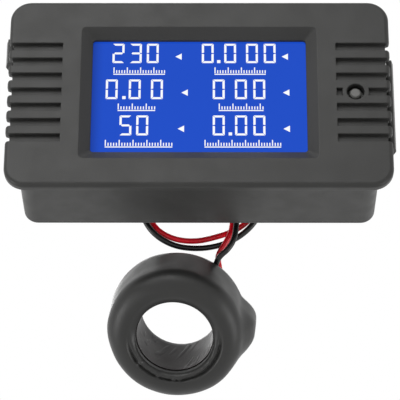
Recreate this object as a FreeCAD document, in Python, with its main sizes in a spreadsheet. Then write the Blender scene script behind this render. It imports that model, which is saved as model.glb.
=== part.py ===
import FreeCAD, Part
import Sketcher
import math
import os

# Panel power meter with a current transformer ring on two leads.
# Frame: X to the right of someone facing the display, Y into the panel, Z up.
# The origin is the centre of the panel cut-out, in the plane where the flange
# seats on the panel. Everything is in millimetres.

# Driving sizes: name of the cell, its number, what it measures.
SIZES = (
    ("face_w", 89.6, "flange width"),
    ("face_ht", 49.6, "flange height"),
    ("flange_t", 2.2, "flange thickness, from panel to face"),
    ("face_corner", 5.0, "flange corner radius"),
    ("face_round", 1.1, "round along the flange's front edge"),
    ("case_w", 83.5, "width of the body behind the flange"),
    ("case_ht", 44.6, "height of the body behind the flange"),
    ("case_depth", 22.2, "depth of meter behind the panel"),
    ("case_corner", 3.5, "corner radius of the body"),
    ("wall_t", 1.5, "side wall of the shell"),
    ("front_wall", 2.6, "front wall, face to cavity"),
    ("fit_gap", 0.15, "clearance between pieces that drop into each other"),
    ("seat_gap", 0.04, "clearance between pieces stacked on each other"),
    ("view_w", 50.3, "visible width of the display"),
    ("view_ht", 30.1, "visible height of the display"),
    ("view_slope", 2.6, "width of the sloped frame round the display"),
    ("view_sink", 1.9, "depth of the sloped frame"),
    ("view_corner", 0.7, "corner radius of the display opening"),
    ("slope_corner", 1.1, "outer corner radius of the sloped frame"),
    ("groove_inner", 32.1, "distance from centre to the grooves' inner ends"),
    ("groove_w", 2.05, "groove width"),
    ("groove_pitch", 4.07, "distance between grooves"),
    ("groove_sink", 1.1, "groove depth"),
    ("notch_sink", 1.0, "depth of the notch in the flange's side"),
    ("notch_round", 0.3, "bevel in the notch's inner corners"),
    ("rib_round", 0.55, "round of the rib ends between the notches"),
    ("key_side", 3.75, "reset button's middle in from the side wall"),
    ("key_land", 6.2, "diameter of the plain ring round the button"),
    ("key_hole", 4.2, "button hole diameter"),
    ("key_top", 2.7, "button top diameter"),
    ("key_round", 0.35, "bevel of the button top"),
    ("key_recess", 0.6, "button top below the face"),
    ("key_collar", 5.6, "diameter of the collar that keeps the button in"),
    ("key_collar_t", 0.8, "collar thickness"),
    ("key_travel", 0.35, "button travel"),
    ("switch_w", 6.0, "tactile switch body, square"),
    ("switch_t", 3.4, "tactile switch body height"),
    ("plunger_d", 3.4, "tactile switch plunger diameter"),
    ("plunger_sink", 0.8, "how far the plunger reaches into the switch body"),
    ("board_side", 0.65, "room between the board and a side wall"),
    ("board_end", 1.0, "room between the board and the upper or lower wall"),
    ("board_t", 1.6, "circuit board thickness"),
    ("board_front", 6.0, "depth of the board's front side"),
    ("post_side", 3.35, "cover post's middle in from the side wall"),
    ("post_end", 2.9, "cover post's middle in from the upper or lower wall"),
    ("post_d", 4.8, "cover post diameter"),
    ("boss_side", 7.75, "board boss's middle in from the side wall"),
    ("boss_end", 5.5, "board boss's middle in from the upper or lower wall"),
    ("boss_d", 4.6, "board boss diameter"),
    ("pilot_spare", 0.5, "pilot hole deeper than its screw"),
    ("pilot_floor", 0.4, "wall left in front of a board boss's pilot hole"),
    ("cover_t", 1.5, "rear cover thickness"),
    ("cover_round", 0.6, "bevel along the rear cover's edge"),
    ("cover_rim", 1.2, "height of the cover's locating rim"),
    ("rim_t", 1.1, "thickness of the cover's locating rim"),
    ("screw_d", 2.0, "self-tapping screw shank diameter"),
    ("screw_head", 3.8, "self-tapping screw head diameter"),
    ("screw_head_t", 1.2, "self-tapping screw head height"),
    ("screw_sink", 0.9, "how much of a cover screw's head is sunk"),
    ("screw_bite", 5.0, "depth of self-tapping screw in its boss"),
    ("cross_long", 2.1, "length of the cross recess in a screw head"),
    ("cross_w", 0.5, "width of the cross recess"),
    ("glass_w", 54.0, "display glass width"),
    ("glass_ht", 34.0, "display glass height"),
    ("glass_t", 1.1, "thickness of each display glass"),
    ("ledge", 2.4, "strip of front glass left bare for the pins"),
    ("film_t", 0.25, "rear polariser thickness"),
    ("guide_t", 2.0, "light guide thickness"),
    ("tray_wall", 0.9, "wall of the tray that holds the light guide"),
    ("led_w", 3.0, "width of each backlight lamp"),
    ("led_t", 1.2, "thickness of each backlight lamp"),
    ("pin_d", 0.5, "thickness of the square display pins"),
    ("pin_pitch", 2.54, "distance between display pins"),
    ("pole_pitch", 5.08, "distance between terminals"),
    ("block_ht", 8.0, "terminal block height"),
    ("block_top", 1.5, "height of the side where the wires enter"),
    ("block_sink", 0.8, "terminal block below the rear of the cover"),
    ("block_skin", 0.8, "wall of the block at the wire entries"),
    ("block_side", 0.3, "wall of the block beyond the outer terminals' pitch"),
    ("clamp_w", 4.0, "clamp cage width"),
    ("clamp_ht", 3.6, "clamp cage height"),
    ("clamp_wall", 0.7, "clamp cage side wall"),
    ("clamp_bar", 1.2, "clamp cage bar under the wire"),
    ("clamp_crown", 1.3, "clamp cage wall that the screw threads into"),
    ("clamp_travel", 1.6, "opening travel of a clamp cage"),
    ("slide_gap", 0.08, "clearance round a sliding cage"),
    ("clamp_screw_d", 2.5, "clamp screw shank diameter"),
    ("clamp_head_d", 3.3, "clamp screw head diameter"),
    ("clamp_head_t", 1.5, "clamp screw head height"),
    ("clamp_shoulder", 1.0, "shoulder under the clamp screw head"),
    ("clamp_sink", 0.6, "clamp screw head below the rear of the block"),
    ("clamp_slot_w", 0.6, "width of the slot in a clamp screw head"),
    ("clamp_slot_deep", 0.7, "depth of the slot in a clamp screw head"),
    ("clamp_spare", 0.4, "room between an open cage's crown and the contact"),
    ("chamber_spare", 0.3, "room in front of an open cage"),
    ("thread_gap", 0.05, "radial clearance of a clamp screw in its cage"),
    ("contact_t", 0.7, "thickness of the fixed contact strip"),
    ("contact_w", 2.2, "width of the fixed contact strip"),
    ("contact_drop", 1.06, "contact leg's lower side below the cage's chamber"),
    ("ferrule_d", 1.1, "ferrule diameter"),
    ("ferrule_collar", 1.9, "ferrule collar diameter"),
    ("ferrule_sleeve", 1.7, "ferrule collar length"),
    ("ferrule_gap", 0.2, "ferrule collar above the block"),
    ("chute_w", 24.0, "width of the wire chute in the cover"),
    ("chute_floor", 9.6, "depth of the chute's floor at the terminals"),
    ("chute_flat", 6.2, "length of the chute's flat floor"),
    ("chute_end", 18.0, "height where the chute runs out"),
    ("chute_wall", 1.2, "wall of the chute"),
    ("latch_reach", 4.15, "how far a latch stands out from the body"),
    ("latch_t", 1.3, "latch thickness"),
    ("latch_tip", 1.6, "depth of the latch's free end"),
    ("latch_crest", 3.6, "depth where the latch stands out most"),
    ("latch_nose", 0.5, "bevel at the latch's free end"),
    ("latch_bend", 0.6, "latch's inner bend deeper than its crest"),
    ("latch_root", 17.2, "depth of the latch's root"),
    ("latch_slit", 0.45, "slit round a latch"),
    ("latch_r_low", -12.8, "lower end of the right latch"),
    ("latch_r_high", 10.7, "upper end of the right latch"),
    ("latch_l_low", 9.9, "lower end of the left latch"),
    ("latch_l_high", 16.5, "upper end of the left latch"),
    ("ct_x", -5.35, "transformer centre, across"),
    ("ct_y", 36.6, "transformer centre, depth"),
    ("ct_z", -41.9, "transformer centre, height"),
    ("ct_dip", 51.1, "dip of the transformer's axis, degrees"),
    ("ct_turn", -6.8, "turn of the transformer's axis, degrees"),
    ("ct_outer", 16.25, "transformer outer radius"),
    ("ct_bore", 9.1, "transformer bore radius"),
    ("ct_half", 7.45, "half thickness of the transformer"),
    ("ct_round", 3.1, "round of the transformer's rim"),
    ("ct_skin", 1.2, "thickness of the rubber sleeve"),
    ("ct_lip", 0.2, "sleeve's hole wider than the bore, on the radius"),
    ("ct_bead", 0.85, "radius of the bead round the bore"),
    ("bead_sink", 0.35, "bead's middle inside the face of the ring"),
    ("liner_t", 0.9, "wall of the bore liner"),
    ("coil_t", 1.1, "thickness of the winding round the core"),
    ("splice_round", 4.7, "radius of the splice lump"),
    ("splice_long", 6.6, "half length of the splice lump along the rim"),
    ("splice_sink", 2.2, "splice lump's centre inside the rim"),
    ("splice_along", -0.8, "splice lump's centre along the rim"),
    ("splice_axial", -0.4, "splice lump's centre along the axis"),
    ("lead_d", 1.4, "lead diameter"),
    ("boot_len", 2.6, "length of the boot where the leads leave the ring"),
    ("boot_wall", 0.35, "wall of the boot round the leads"),
    ("boot_run", 2.0, "straight run of each lead out of the boot"),
    ("lead_gap", 1.6, "distance between the two leads in the boot"),
    ("part_gap", 0.4, "room between neighbours on the board"),
    ("part_margin", 3.6, "room at the board's sides and beside the chute"),
    ("part_round", 0.8, "round or bevel of the moulded parts on the board"),
    ("film_cap_w", 17.5, "film capacitor width"),
    ("film_cap_ht", 8.6, "film capacitor height"),
    ("film_cap_t", 11.0, "film capacitor depth"),
    ("can_d", 10.0, "electrolytic capacitor diameter"),
    ("can_t", 11.0, "electrolytic capacitor length"),
    ("can_lift", 0.3, "electrolytic capacitor above the board"),
    ("can_foot", 8.6, "diameter of the electrolytic capacitor's seal"),
    ("disc_d", 10.0, "varistor diameter"),
    ("disc_t", 3.4, "varistor thickness"),
    ("disc_lift", 1.6, "varistor above the board"),
    ("disc_legs", 5.0, "distance between the varistor's legs"),
    ("bridge_w", 8.4, "rectifier width"),
    ("bridge_ht", 6.4, "rectifier height"),
    ("bridge_t", 3.2, "rectifier depth"),
    ("bridge_lift", 0.4, "rectifier above the board"),
    ("bridge_foot", 0.7, "rectifier foot, square"),
    ("metering_w", 10.0, "metering chip width"),
    ("metering_ht", 4.0, "metering chip height"),
    ("processor_w", 9.8, "processor chip width"),
    ("processor_ht", 6.2, "processor chip height"),
    ("chip_t", 1.5, "chip case thickness"),
    ("chip_lift", 0.2, "chip case above the board"),
    ("chip_leg_w", 0.4, "chip leg width"),
    ("chip_leg_t", 0.5, "chip leg thickness"),
    ("chip_leg_out", 1.0, "how far the chip legs stand out"),
    ("crystal_w", 10.6, "crystal can width"),
    ("crystal_ht", 4.2, "crystal can height"),
    ("crystal_t", 3.5, "crystal can depth"),
    ("crystal_round", 1.6, "corner radius of the crystal can"),
    ("fuse_d", 3.8, "fuse resistor diameter"),
    ("fuse_long", 10.0, "fuse resistor length"),
    ("burden_d", 2.4, "burden resistor diameter"),
    ("burden_long", 6.6, "burden resistor length"),
    ("tube_lift", 0.3, "lying resistors above the board"),
    ("leg_d", 0.7, "diameter of the round legs"),
    ("leg_inset", 0.9, "legs inside the ends of a lying resistor"),
)

# The leads' routes, chosen by hand. Each starts at its ferrule collar, runs out
# of the chute, down the right side, along the arc under the body, up the left
# side, back over and down to the transformer's boot.
RED_ROUTE = (
    (2.54, 13.63, 3.4),
    (2.54, 13.63, 8.0),
    (3.2, 17.4, 12.0),
    (5.0, 22.2, 14.6),
    (8.6, 26.2, 14.0),
    (11.8, 27.6, 10.0),
    (13.4, 27.6, 4.2),
    (13.8, 27.4, -2.0),
    (14.1, 27.4, -8.0),
    (13.9, 28.0, -13.6),
    (12.4, 28.6, -17.8),
    (8.8, 30.1, -20.1),
    (4.2, 30.2, -21.8),
    (-0.9, 30.4, -23.0),
    (-6.3, 30.0, -22.6),
    (-10.9, 29.3, -20.0),
    (-12.8, 28.4, -15.4),
    (-12.6, 27.6, -10.4),
    (-9.8, 26.9, -6.4),
    (-5.0, 26.4, -4.4),
    (0.2, 26.2, -4.6),
    (4.6, 26.2, -7.2),
    (7.2, 26.4, -11.6),
    (7.8, 26.7, -16.8),
    (7.8, 27.5, -21.1),
    (6.6, 28.5, -23.5),
    (4.9, 29.0, -25.6),
)
BLACK_ROUTE = (
    (7.62, 13.63, 3.4),
    (7.62, 13.63, 8.0),
    (8.3, 17.4, 12.2),
    (10.0, 22.2, 15.0),
    (13.0, 26.0, 13.2),
    (14.9, 27.4, 8.2),
    (15.6, 27.5, 2.0),
    (15.8, 27.3, -4.4),
    (16.0, 27.2, -10.2),
    (15.2, 27.5, -15.4),
    (12.9, 28.2, -19.6),
    (9.2, 29.9, -22.3),
    (4.5, 30.8, -24.0),
    (-0.9, 30.9, -24.7),
    (-6.5, 30.2, -24.2),
    (-11.5, 28.4, -21.6),
    (-14.2, 27.3, -16.6),
    (-14.7, 26.3, -10.6),
    (-12.3, 25.6, -5.2),
    (-7.2, 25.2, -1.8),
    (-1.0, 25.0, -1.4),
    (4.9, 25.0, -3.9),
    (8.7, 25.4, -8.8),
    (9.7, 25.8, -14.8),
    (9.4, 26.3, -20.8),
    (8.8, 27.0, -25.0),
    (6.1, 28.4, -26.4),
)
BOOT_AXIS = FreeCAD.Vector(0.34, -0.34, 0.877)
BOOT_OFFSET = FreeCAD.Vector(9.6, -7.05, 14.3)
BOOT_SIDE = FreeCAD.Vector(0.72, -0.6, -0.35)

doc = FreeCAD.newDocument("power_meter")
sheet = doc.addObject("Spreadsheet::Sheet", "Sizes")
PARTS = []


class Size:
    """A length that knows its number and the cell expression it follows."""

    def __init__(self, number, text):
        self.number = number
        self.text = text

    def __add__(self, other):
        other = as_size(other)
        return Size(self.number + other.number, f"({self.text} + {other.text})")

    def __radd__(self, other):
        return as_size(other) + self

    def __sub__(self, other):
        other = as_size(other)
        return Size(self.number - other.number, f"({self.text} - {other.text})")

    def __rsub__(self, other):
        return as_size(other) - self

    def __mul__(self, factor):
        factor = as_size(factor)
        return Size(self.number * factor.number, f"({self.text} * {factor.text})")

    def __rmul__(self, factor):
        return as_size(factor) * self

    def __truediv__(self, factor):
        factor = as_size(factor)
        return Size(self.number / factor.number, f"({self.text} / {factor.text})")

    def __neg__(self):
        return Size(-self.number, f"(0 - {self.text})")


def as_size(value):
    if isinstance(value, Size):
        return value
    return Size(float(value), f"({float(value):.6f})")


def fill_sheet():
    """Write the driving sizes into the sheet and return them by name."""
    for row, (alias, number, note) in enumerate(SIZES, start=1):
        sheet.set(f"A{row}", alias)
        sheet.set(f"B{row}", str(number))
        sheet.set(f"C{row}", note)
        sheet.setAlias(f"B{row}", alias)
    doc.recompute()
    return {alias: Size(float(getattr(sheet, alias)), f"Sizes.{alias}") for alias, _, _ in SIZES}


S = fill_sheet()

# Places that several pieces share.
FACE = -S["flange_t"]
INNER_FACE = FACE + S["front_wall"]
REAR = S["case_depth"]
COVER_FRONT = REAR - S["cover_t"]
CAVITY_W = S["case_w"] - 2 * S["wall_t"]
CAVITY_HT = S["case_ht"] - 2 * S["wall_t"]
BOARD_W = CAVITY_W - 2 * S["board_side"]
BOARD_HT = CAVITY_HT - 2 * S["board_end"]
POST_X = CAVITY_W / 2 - S["post_side"]
POST_Z = CAVITY_HT / 2 - S["post_end"]
BOSS_X = CAVITY_W / 2 - S["boss_side"]
BOSS_Z = CAVITY_HT / 2 - S["boss_end"]
KEY_X = CAVITY_W / 2 - S["key_side"]
BOARD_REAR = S["board_front"] + S["board_t"]
BLOCK_REAR = REAR - S["block_sink"]
BLOCK_LOW = S["block_top"] - S["block_ht"]
BLOCK_W = 4 * S["pole_pitch"] + 2 * S["block_side"]
COVER_SEAT = REAR - S["screw_sink"]
CLAMP_HEAD_SEAT = BLOCK_REAR - S["clamp_sink"] - S["clamp_head_t"]
CLAMP_TOP = CLAMP_HEAD_SEAT - S["clamp_shoulder"] - S["slide_gap"]
CLAMP_Z = S["block_top"] - S["block_skin"] - S["slide_gap"] - S["clamp_ht"] / 2
CONTACT_REAR = CLAMP_TOP - S["clamp_crown"] - S["clamp_travel"] - S["clamp_spare"]
WIRE_Y = CONTACT_REAR - S["contact_t"] - S["seat_gap"] / 2 - S["ferrule_d"] / 2
BAR_REAR = WIRE_Y - S["ferrule_d"] / 2 - S["seat_gap"] / 2
CHAMBER_FLOOR = BAR_REAR - S["clamp_bar"] - S["clamp_travel"] - S["chamber_spare"]
COLLAR_LOW = S["block_top"] + S["ferrule_gap"]

# Terminals from the left in pitches from the middle, and those with leads.
POLES = (-1.5, -0.5, 0.5, 1.5)
LEAD_POLES = (0.5, 1.5)
GROOVE_COUNT = 7
PIN_COUNT = 16
METERING_PAIR_COUNT = 8
PROCESSOR_PAIR_COUNT = 7
LEAD_SIDE_COUNT = 8

# Cutting outlines run this far past the material, and faces that would fall
# in one plane with another outline are moved by a hair.
PAST = 1.0
HAIR = 0.001

# Where a quarter round's middle lies, as a share of its radius from the corner.
ROUND_MIDDLE = 1 - math.sqrt(0.5)

# A bevel's leg, as a share of the radius of the quarter round that it touches.
BEVEL_SHARE = 2 - math.sqrt(2)

# Chords that stand for each arc of the ring's outlines.
CHORD_COUNT = 3

# The chute's inner bend and inner end, lower than the outer ones by these
# shares of its wall, so that the ramp keeps its thickness.
RAMP_BEND = 0.4
RAMP_END = 1.25

# Each arc of a lead takes up this share of the shorter run beside it.
ARC_SHARE = 0.45


def finish(piece, name):
    """Give a finished piece its name in the assembly."""
    piece.Label = name
    PARTS.append(piece)
    return piece


def follow(target, path, size):
    target.setExpression(path, as_size(size).text)


def follow_place(piece, x, y, z):
    for axis, size in (("x", x), ("y", y), ("z", z)):
        follow(piece, f"Placement.Base.{axis}", size)


def box(name, x, y, z):
    """A block between the two limits given for each axis."""
    block = doc.addObject("Part::Box", name)
    follow(block, "Length", as_size(x[1]) - x[0])
    follow(block, "Width", as_size(y[1]) - y[0])
    follow(block, "Height", as_size(z[1]) - z[0])
    follow_place(block, x[0], y[0], z[0])
    return block


def centred_box(name, width, height, y, x=0, z=0):
    """A block centred across and up, between two depths."""
    half_w, half_h = as_size(width) / 2, as_size(height) / 2
    return box(name, (x - half_w, x + half_w), y, (z - half_h, z + half_h))


TURNS = {
    "x": FreeCAD.Rotation(FreeCAD.Vector(0, 1, 0), 90),
    "y": FreeCAD.Rotation(FreeCAD.Vector(1, 0, 0), -90),
    "z": FreeCAD.Rotation(),
}


def rod(name, diameter, start, length, axis="y"):
    """A cylinder from a point along an axis."""
    cylinder = doc.addObject("Part::Cylinder", name)
    cylinder.Placement.Rotation = TURNS[axis]
    follow(cylinder, "Radius", as_size(diameter) / 2)
    follow(cylinder, "Height", length)
    follow_place(cylinder, *start)
    return cylinder


def fused(name, pieces):
    result = doc.addObject("Part::MultiFuse", name)
    result.Shapes = list(pieces)
    return result


def cut(name, base, tools):
    result = doc.addObject("Part::Cut", name)
    result.Base = base
    result.Tool = tools[0] if len(tools) == 1 else fused(f"{name}_tools", tools)
    return result


def rounded(name, base, radius, choose):
    """Fillet the edges of a piece that the test picks."""
    doc.recompute()
    result = doc.addObject("Part::Fillet", name)
    result.Base = base
    size = as_size(radius).number
    picked = [i for i, edge in enumerate(base.Shape.Edges, start=1) if choose(edge)]
    if not picked:
        raise RuntimeError(f"{name}: no edge to round")
    result.Edges = [(i, size, size) for i in picked]
    return result


def bevelled(name, base, leg, choose):
    """Bevel the edges of a piece that the test picks."""
    doc.recompute()
    result = doc.addObject("Part::Chamfer", name)
    result.Base = base
    size = as_size(leg).number
    picked = [i for i, edge in enumerate(base.Shape.Edges, start=1) if choose(edge)]
    if not picked:
        raise RuntimeError(f"{name}: no edge to bevel")
    result.Edges = [(i, size, size) for i in picked]
    return result


def along(edge, axis):
    """Whether a straight edge runs along an axis."""
    if edge.Curve.TypeId != "Part::GeomLine":
        return False
    return abs(getattr(edge.tangentAt(edge.FirstParameter), axis)) > 1 - HAIR


def new_body(name):
    body = doc.addObject("PartDesign::Body", name)
    return finish(body, name)


def new_sketch(body, name, role, offset=0):
    """A sketch on one of the body's own planes, moved along its normal."""
    sketch = body.newObject("Sketcher::SketchObject", name)
    plane = next(item for item in body.Origin.OriginFeatures if item.Role == role)
    sketch.AttachmentSupport = [(plane, "")]
    sketch.MapMode = "FlatFace"
    follow(sketch, "AttachmentOffset.Base.z", offset)
    return sketch


def front_sketch(body, name, depth):
    """A sketch that faces the user, at a depth behind the panel seat."""
    return new_sketch(body, name, "XZ_Plane", -as_size(depth))


def bind(sketch, kind, *where):
    """Add a driven length, the last item, between the points named before it."""
    *points, size = where
    size = as_size(size)
    index = sketch.addConstraint(Sketcher.Constraint(kind, *points, size.number))
    sketch.setExpression(f"Constraints[{index}]", size.text)


def line(sketch, start, end):
    return sketch.addGeometry(
        Part.LineSegment(FreeCAD.Vector(*start, 0), FreeCAD.Vector(*end, 0)), False
    )


def draw_polygon(sketch, points):
    """A closed outline whose corners are bound to their sizes."""
    corners = [(as_size(x), as_size(y)) for x, y in points]
    flat = [(x.number, y.number) for x, y in corners]
    sides = [line(sketch, p, q) for p, q in zip(flat, flat[1:] + flat[:1])]
    for before, after in zip(sides, sides[1:] + sides[:1]):
        sketch.addConstraint(Sketcher.Constraint("Coincident", before, 2, after, 1))
    for side, (x, y) in zip(sides, corners):
        bind(sketch, "DistanceX", -1, 1, side, 1, x)
        bind(sketch, "DistanceY", -1, 1, side, 1, y)


def draw_circle(sketch, x, y, diameter):
    x, y, diameter = as_size(x), as_size(y), as_size(diameter)
    centre = FreeCAD.Vector(x.number, y.number, 0)
    circle = sketch.addGeometry(
        Part.Circle(centre, FreeCAD.Vector(0, 0, 1), diameter.number / 2), False
    )
    bind(sketch, "DistanceX", -1, 1, circle, 3, x)
    bind(sketch, "DistanceY", -1, 1, circle, 3, y)
    bind(sketch, "Diameter", circle, diameter)


def draw_rounded_rectangle(sketch, width, height, corner):
    """A rectangle about the sketch's origin with four equal rounded corners."""
    width, height, corner = as_size(width), as_size(height), as_size(corner)
    half_w, half_h, r = width.number / 2, height.number / 2, corner.number
    ends = (
        ((-half_w + r, -half_h), (half_w - r, -half_h)),
        ((half_w, -half_h + r), (half_w, half_h - r)),
        ((half_w - r, half_h), (-half_w + r, half_h)),
        ((-half_w, half_h - r), (-half_w, -half_h + r)),
    )
    centres = (
        (half_w - r, -half_h + r, -90),
        (half_w - r, half_h - r, 0),
        (-half_w + r, half_h - r, 90),
        (-half_w + r, -half_h + r, 180),
    )
    lines = [line(sketch, start, end) for start, end in ends]
    arcs = []
    for x, y, start in centres:
        circle = Part.Circle(FreeCAD.Vector(x, y, 0), FreeCAD.Vector(0, 0, 1), r)
        first, last = math.radians(start), math.radians(start + 90)
        arcs.append(sketch.addGeometry(Part.ArcOfCircle(circle, first, last), False))
    for side, arc, following in zip(lines, arcs, lines[1:] + lines[:1]):
        sketch.addConstraint(Sketcher.Constraint("Tangent", side, 2, arc, 1))
        sketch.addConstraint(Sketcher.Constraint("Tangent", arc, 2, following, 1))
    for arc in arcs[1:]:
        sketch.addConstraint(Sketcher.Constraint("Equal", arcs[0], arc))
    sketch.addConstraint(Sketcher.Constraint("Horizontal", lines[0]))
    sketch.addConstraint(Sketcher.Constraint("Vertical", lines[1]))
    sketch.addConstraint(Sketcher.Constraint("Symmetric", lines[0], 1, lines[2], 1, -1, 1))
    bind(sketch, "DistanceX", lines[3], 1, lines[1], 1, width)
    bind(sketch, "DistanceY", lines[0], 1, lines[2], 1, height)
    bind(sketch, "Radius", arcs[0], corner)


def extrude(body, kind, name, sketch, length, reverse, midplane=False):
    """A pad or pocket, checked to have added or removed material."""
    doc.recompute()
    before = body.Shape.Volume if body.Tip else 0.0
    feature = body.newObject(f"PartDesign::{kind}", name)
    feature.Profile = sketch
    feature.Reversed = reverse
    if midplane:
        feature.SideType = "Symmetric"
    follow(feature, "Length", length)
    doc.recompute()
    change = body.Shape.Volume - before
    if (change <= 0) == (kind == "Pad"):
        raise RuntimeError(f"{body.Label}.{name} changed the volume by {change:.3f}")
    return feature


def pad_back(body, name, sketch, length):
    """Pad a front sketch towards the rear."""
    return extrude(body, "Pad", name, sketch, length, True)


def pocket_back(body, name, sketch, length):
    """Pocket a front sketch towards the rear."""
    return extrude(body, "Pocket", name, sketch, length, False)


def make_front_shell():
    """Flange and body walls in one moulding, open at the rear."""
    body = new_body("front_shell")
    outline = front_sketch(body, "flange_outline", FACE)
    draw_rounded_rectangle(outline, S["face_w"], S["face_ht"], S["face_corner"])
    flange = pad_back(body, "flange", outline, S["flange_t"])
    front_edges = [
        f"Edge{i}"
        for i, edge in enumerate(flange.Shape.Edges, start=1)
        if edge.BoundBox.YMax < FACE.number + HAIR
    ]
    softened = body.newObject("PartDesign::Fillet", "flange_round")
    softened.Base = (flange, front_edges)
    follow(softened, "Radius", S["face_round"])

    outline = front_sketch(body, "case_outline", 0)
    draw_rounded_rectangle(outline, S["case_w"], S["case_ht"], S["case_corner"])
    pad_back(body, "case", outline, COVER_FRONT)

    outline = front_sketch(body, "cavity_outline", INNER_FACE)
    inner_corner = S["case_corner"] - S["wall_t"]
    draw_rounded_rectangle(outline, CAVITY_W, CAVITY_HT, inner_corner)
    pocket_back(body, "cavity", outline, COVER_FRONT - INNER_FACE)

    add_display_frame(body)
    add_grooves(body)
    add_key_hole(body)
    add_posts(body)
    add_latch_windows(body)
    return body


def add_display_frame(body):
    """The sloped frame and the opening in front of the display."""
    outer = front_sketch(body, "slope_outer", FACE)
    slope_w = S["view_w"] + 2 * S["view_slope"]
    slope_ht = S["view_ht"] + 2 * S["view_slope"]
    draw_rounded_rectangle(outer, slope_w, slope_ht, S["slope_corner"])
    inner = front_sketch(body, "slope_inner", FACE + S["view_sink"])
    draw_rounded_rectangle(inner, S["view_w"], S["view_ht"], S["view_corner"])
    doc.recompute()
    slope = body.newObject("PartDesign::SubtractiveLoft", "display_slope")
    slope.Profile = outer
    slope.Sections = [inner]
    slope.Ruled = True
    doc.recompute()
    opening = front_sketch(body, "opening_outline", FACE + S["view_sink"])
    draw_rounded_rectangle(opening, S["view_w"], S["view_ht"], S["view_corner"])
    pocket_back(body, "display_opening", opening, S["front_wall"])


def lowest_groove():
    """Lower and upper side of the lowest groove."""
    low = -(GROOVE_COUNT - 1) / 2 * S["groove_pitch"] - S["groove_w"] / 2
    return low, low + S["groove_w"]


def groove_points(side):
    """Outline of the lowest groove on one side, run out past the flange."""
    low, high = lowest_groove()
    inner = side * S["groove_inner"]
    outer = side * (S["face_w"] / 2 + PAST)
    return ((inner, low), (outer, low), (outer, high), (inner, high))


def notch_points(side):
    """Outline of the notch at the groove's end, flared to round the ribs."""
    low, high = lowest_groove()
    rib, bevel = S["rib_round"], S["notch_round"]
    edge = side * S["face_w"] / 2
    floor = edge - side * S["notch_sink"]
    past = edge + side * PAST
    middle = rib * ROUND_MIDDLE
    return (
        (floor, low + bevel),
        (floor + side * bevel, low),
        (edge - side * rib, low),
        (edge - side * middle, low - middle),
        (edge, low - rib),
        (past, low - rib),
        (past, high + rib),
        (edge, high + rib),
        (edge - side * middle, high + middle),
        (edge - side * rib, high),
        (floor + side * bevel, high),
        (floor, high - bevel),
    )


def add_grooves(body):
    """Seven grooves at each end of the face, notched through the flange's side."""
    grooves = front_sketch(body, "groove_outline", FACE)
    notches = front_sketch(body, "notch_outline", FACE)
    for side in (-1, 1):
        draw_polygon(grooves, groove_points(side))
        draw_polygon(notches, notch_points(side))
    groove = pocket_back(body, "groove", grooves, S["groove_sink"])
    notch = pocket_back(body, "notch", notches, S["flange_t"])
    rows = body.newObject("PartDesign::LinearPattern", "groove_rows")
    rows.Originals = [groove, notch]
    rows.Direction = (grooves, ["V_Axis"])
    rows.Occurrences = GROOVE_COUNT
    follow(rows, "Length", (GROOVE_COUNT - 1) * S["groove_pitch"])
    before = body.Shape.Volume
    body.Tip = rows
    doc.recompute()
    if body.Shape.Volume >= before:
        raise RuntimeError("the grooves were not repeated")


def add_key_hole(body):
    """A plain ring that interrupts the middle groove, with the button's hole."""
    land = front_sketch(body, "key_land_outline", FACE)
    draw_circle(land, KEY_X, 0, S["key_land"])
    pad_back(body, "key_land_ring", land, S["groove_sink"])
    hole = front_sketch(body, "key_hole_outline", FACE)
    draw_circle(hole, KEY_X, 0, S["key_hole"])
    pocket_back(body, "key_hole_cut", hole, S["front_wall"] + S["fit_gap"])


def post_places():
    return [(x * POST_X, z * POST_Z) for x in (-1, 1) for z in (-1, 1)]


def boss_places():
    return [(x * BOSS_X, z * BOSS_Z) for x in (-1, 1) for z in (-1, 1)]


def add_posts(body):
    """Posts for the cover screws and bosses for the board screws."""
    pilot = S["screw_d"] + 2 * S["seat_gap"]
    posts = front_sketch(body, "post_outline", INNER_FACE)
    pilots = front_sketch(body, "post_pilots", COVER_FRONT - S["screw_bite"] - S["pilot_spare"])
    for x, z in post_places():
        draw_circle(posts, x, z, S["post_d"])
        draw_circle(pilots, x, z, pilot)
    pad_back(body, "cover_posts", posts, COVER_FRONT - INNER_FACE)
    pocket_back(body, "cover_pilots", pilots, S["screw_bite"] + 2 * S["pilot_spare"])
    bosses = front_sketch(body, "boss_outline", INNER_FACE)
    pilots = front_sketch(body, "boss_pilots", INNER_FACE + S["pilot_floor"])
    for x, z in boss_places():
        draw_circle(bosses, x, z, S["boss_d"])
        draw_circle(pilots, x, z, pilot)
    pad_back(body, "board_bosses", bosses, S["board_front"] - INNER_FACE)
    pocket_back(body, "board_pilots", pilots, S["board_front"])


def latch_span(side):
    """Lower and upper end of the latch on one side of the body."""
    if side > 0:
        return S["latch_r_low"], S["latch_r_high"]
    return S["latch_l_low"], S["latch_l_high"]


def add_latch_windows(body):
    """Openings in the side walls that the latches flex into."""
    for side, name in ((-1, "left"), (1, "right")):
        low, high = latch_span(side)
        start = side * (S["case_w"] / 2 - S["wall_t"] - PAST / 2)
        window = new_sketch(body, f"{name}_window", "YZ_Plane", start)
        front = S["latch_slit"]
        rear = S["latch_root"] + S["latch_t"] / 2 + S["slide_gap"]
        bottom, top = low - S["latch_slit"], high + S["latch_slit"]
        draw_polygon(window, ((front, bottom), (rear, bottom), (rear, top), (front, top)))
        extrude(body, "Pocket", f"{name}_opening", window, S["wall_t"] + PAST, side > 0)


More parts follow.
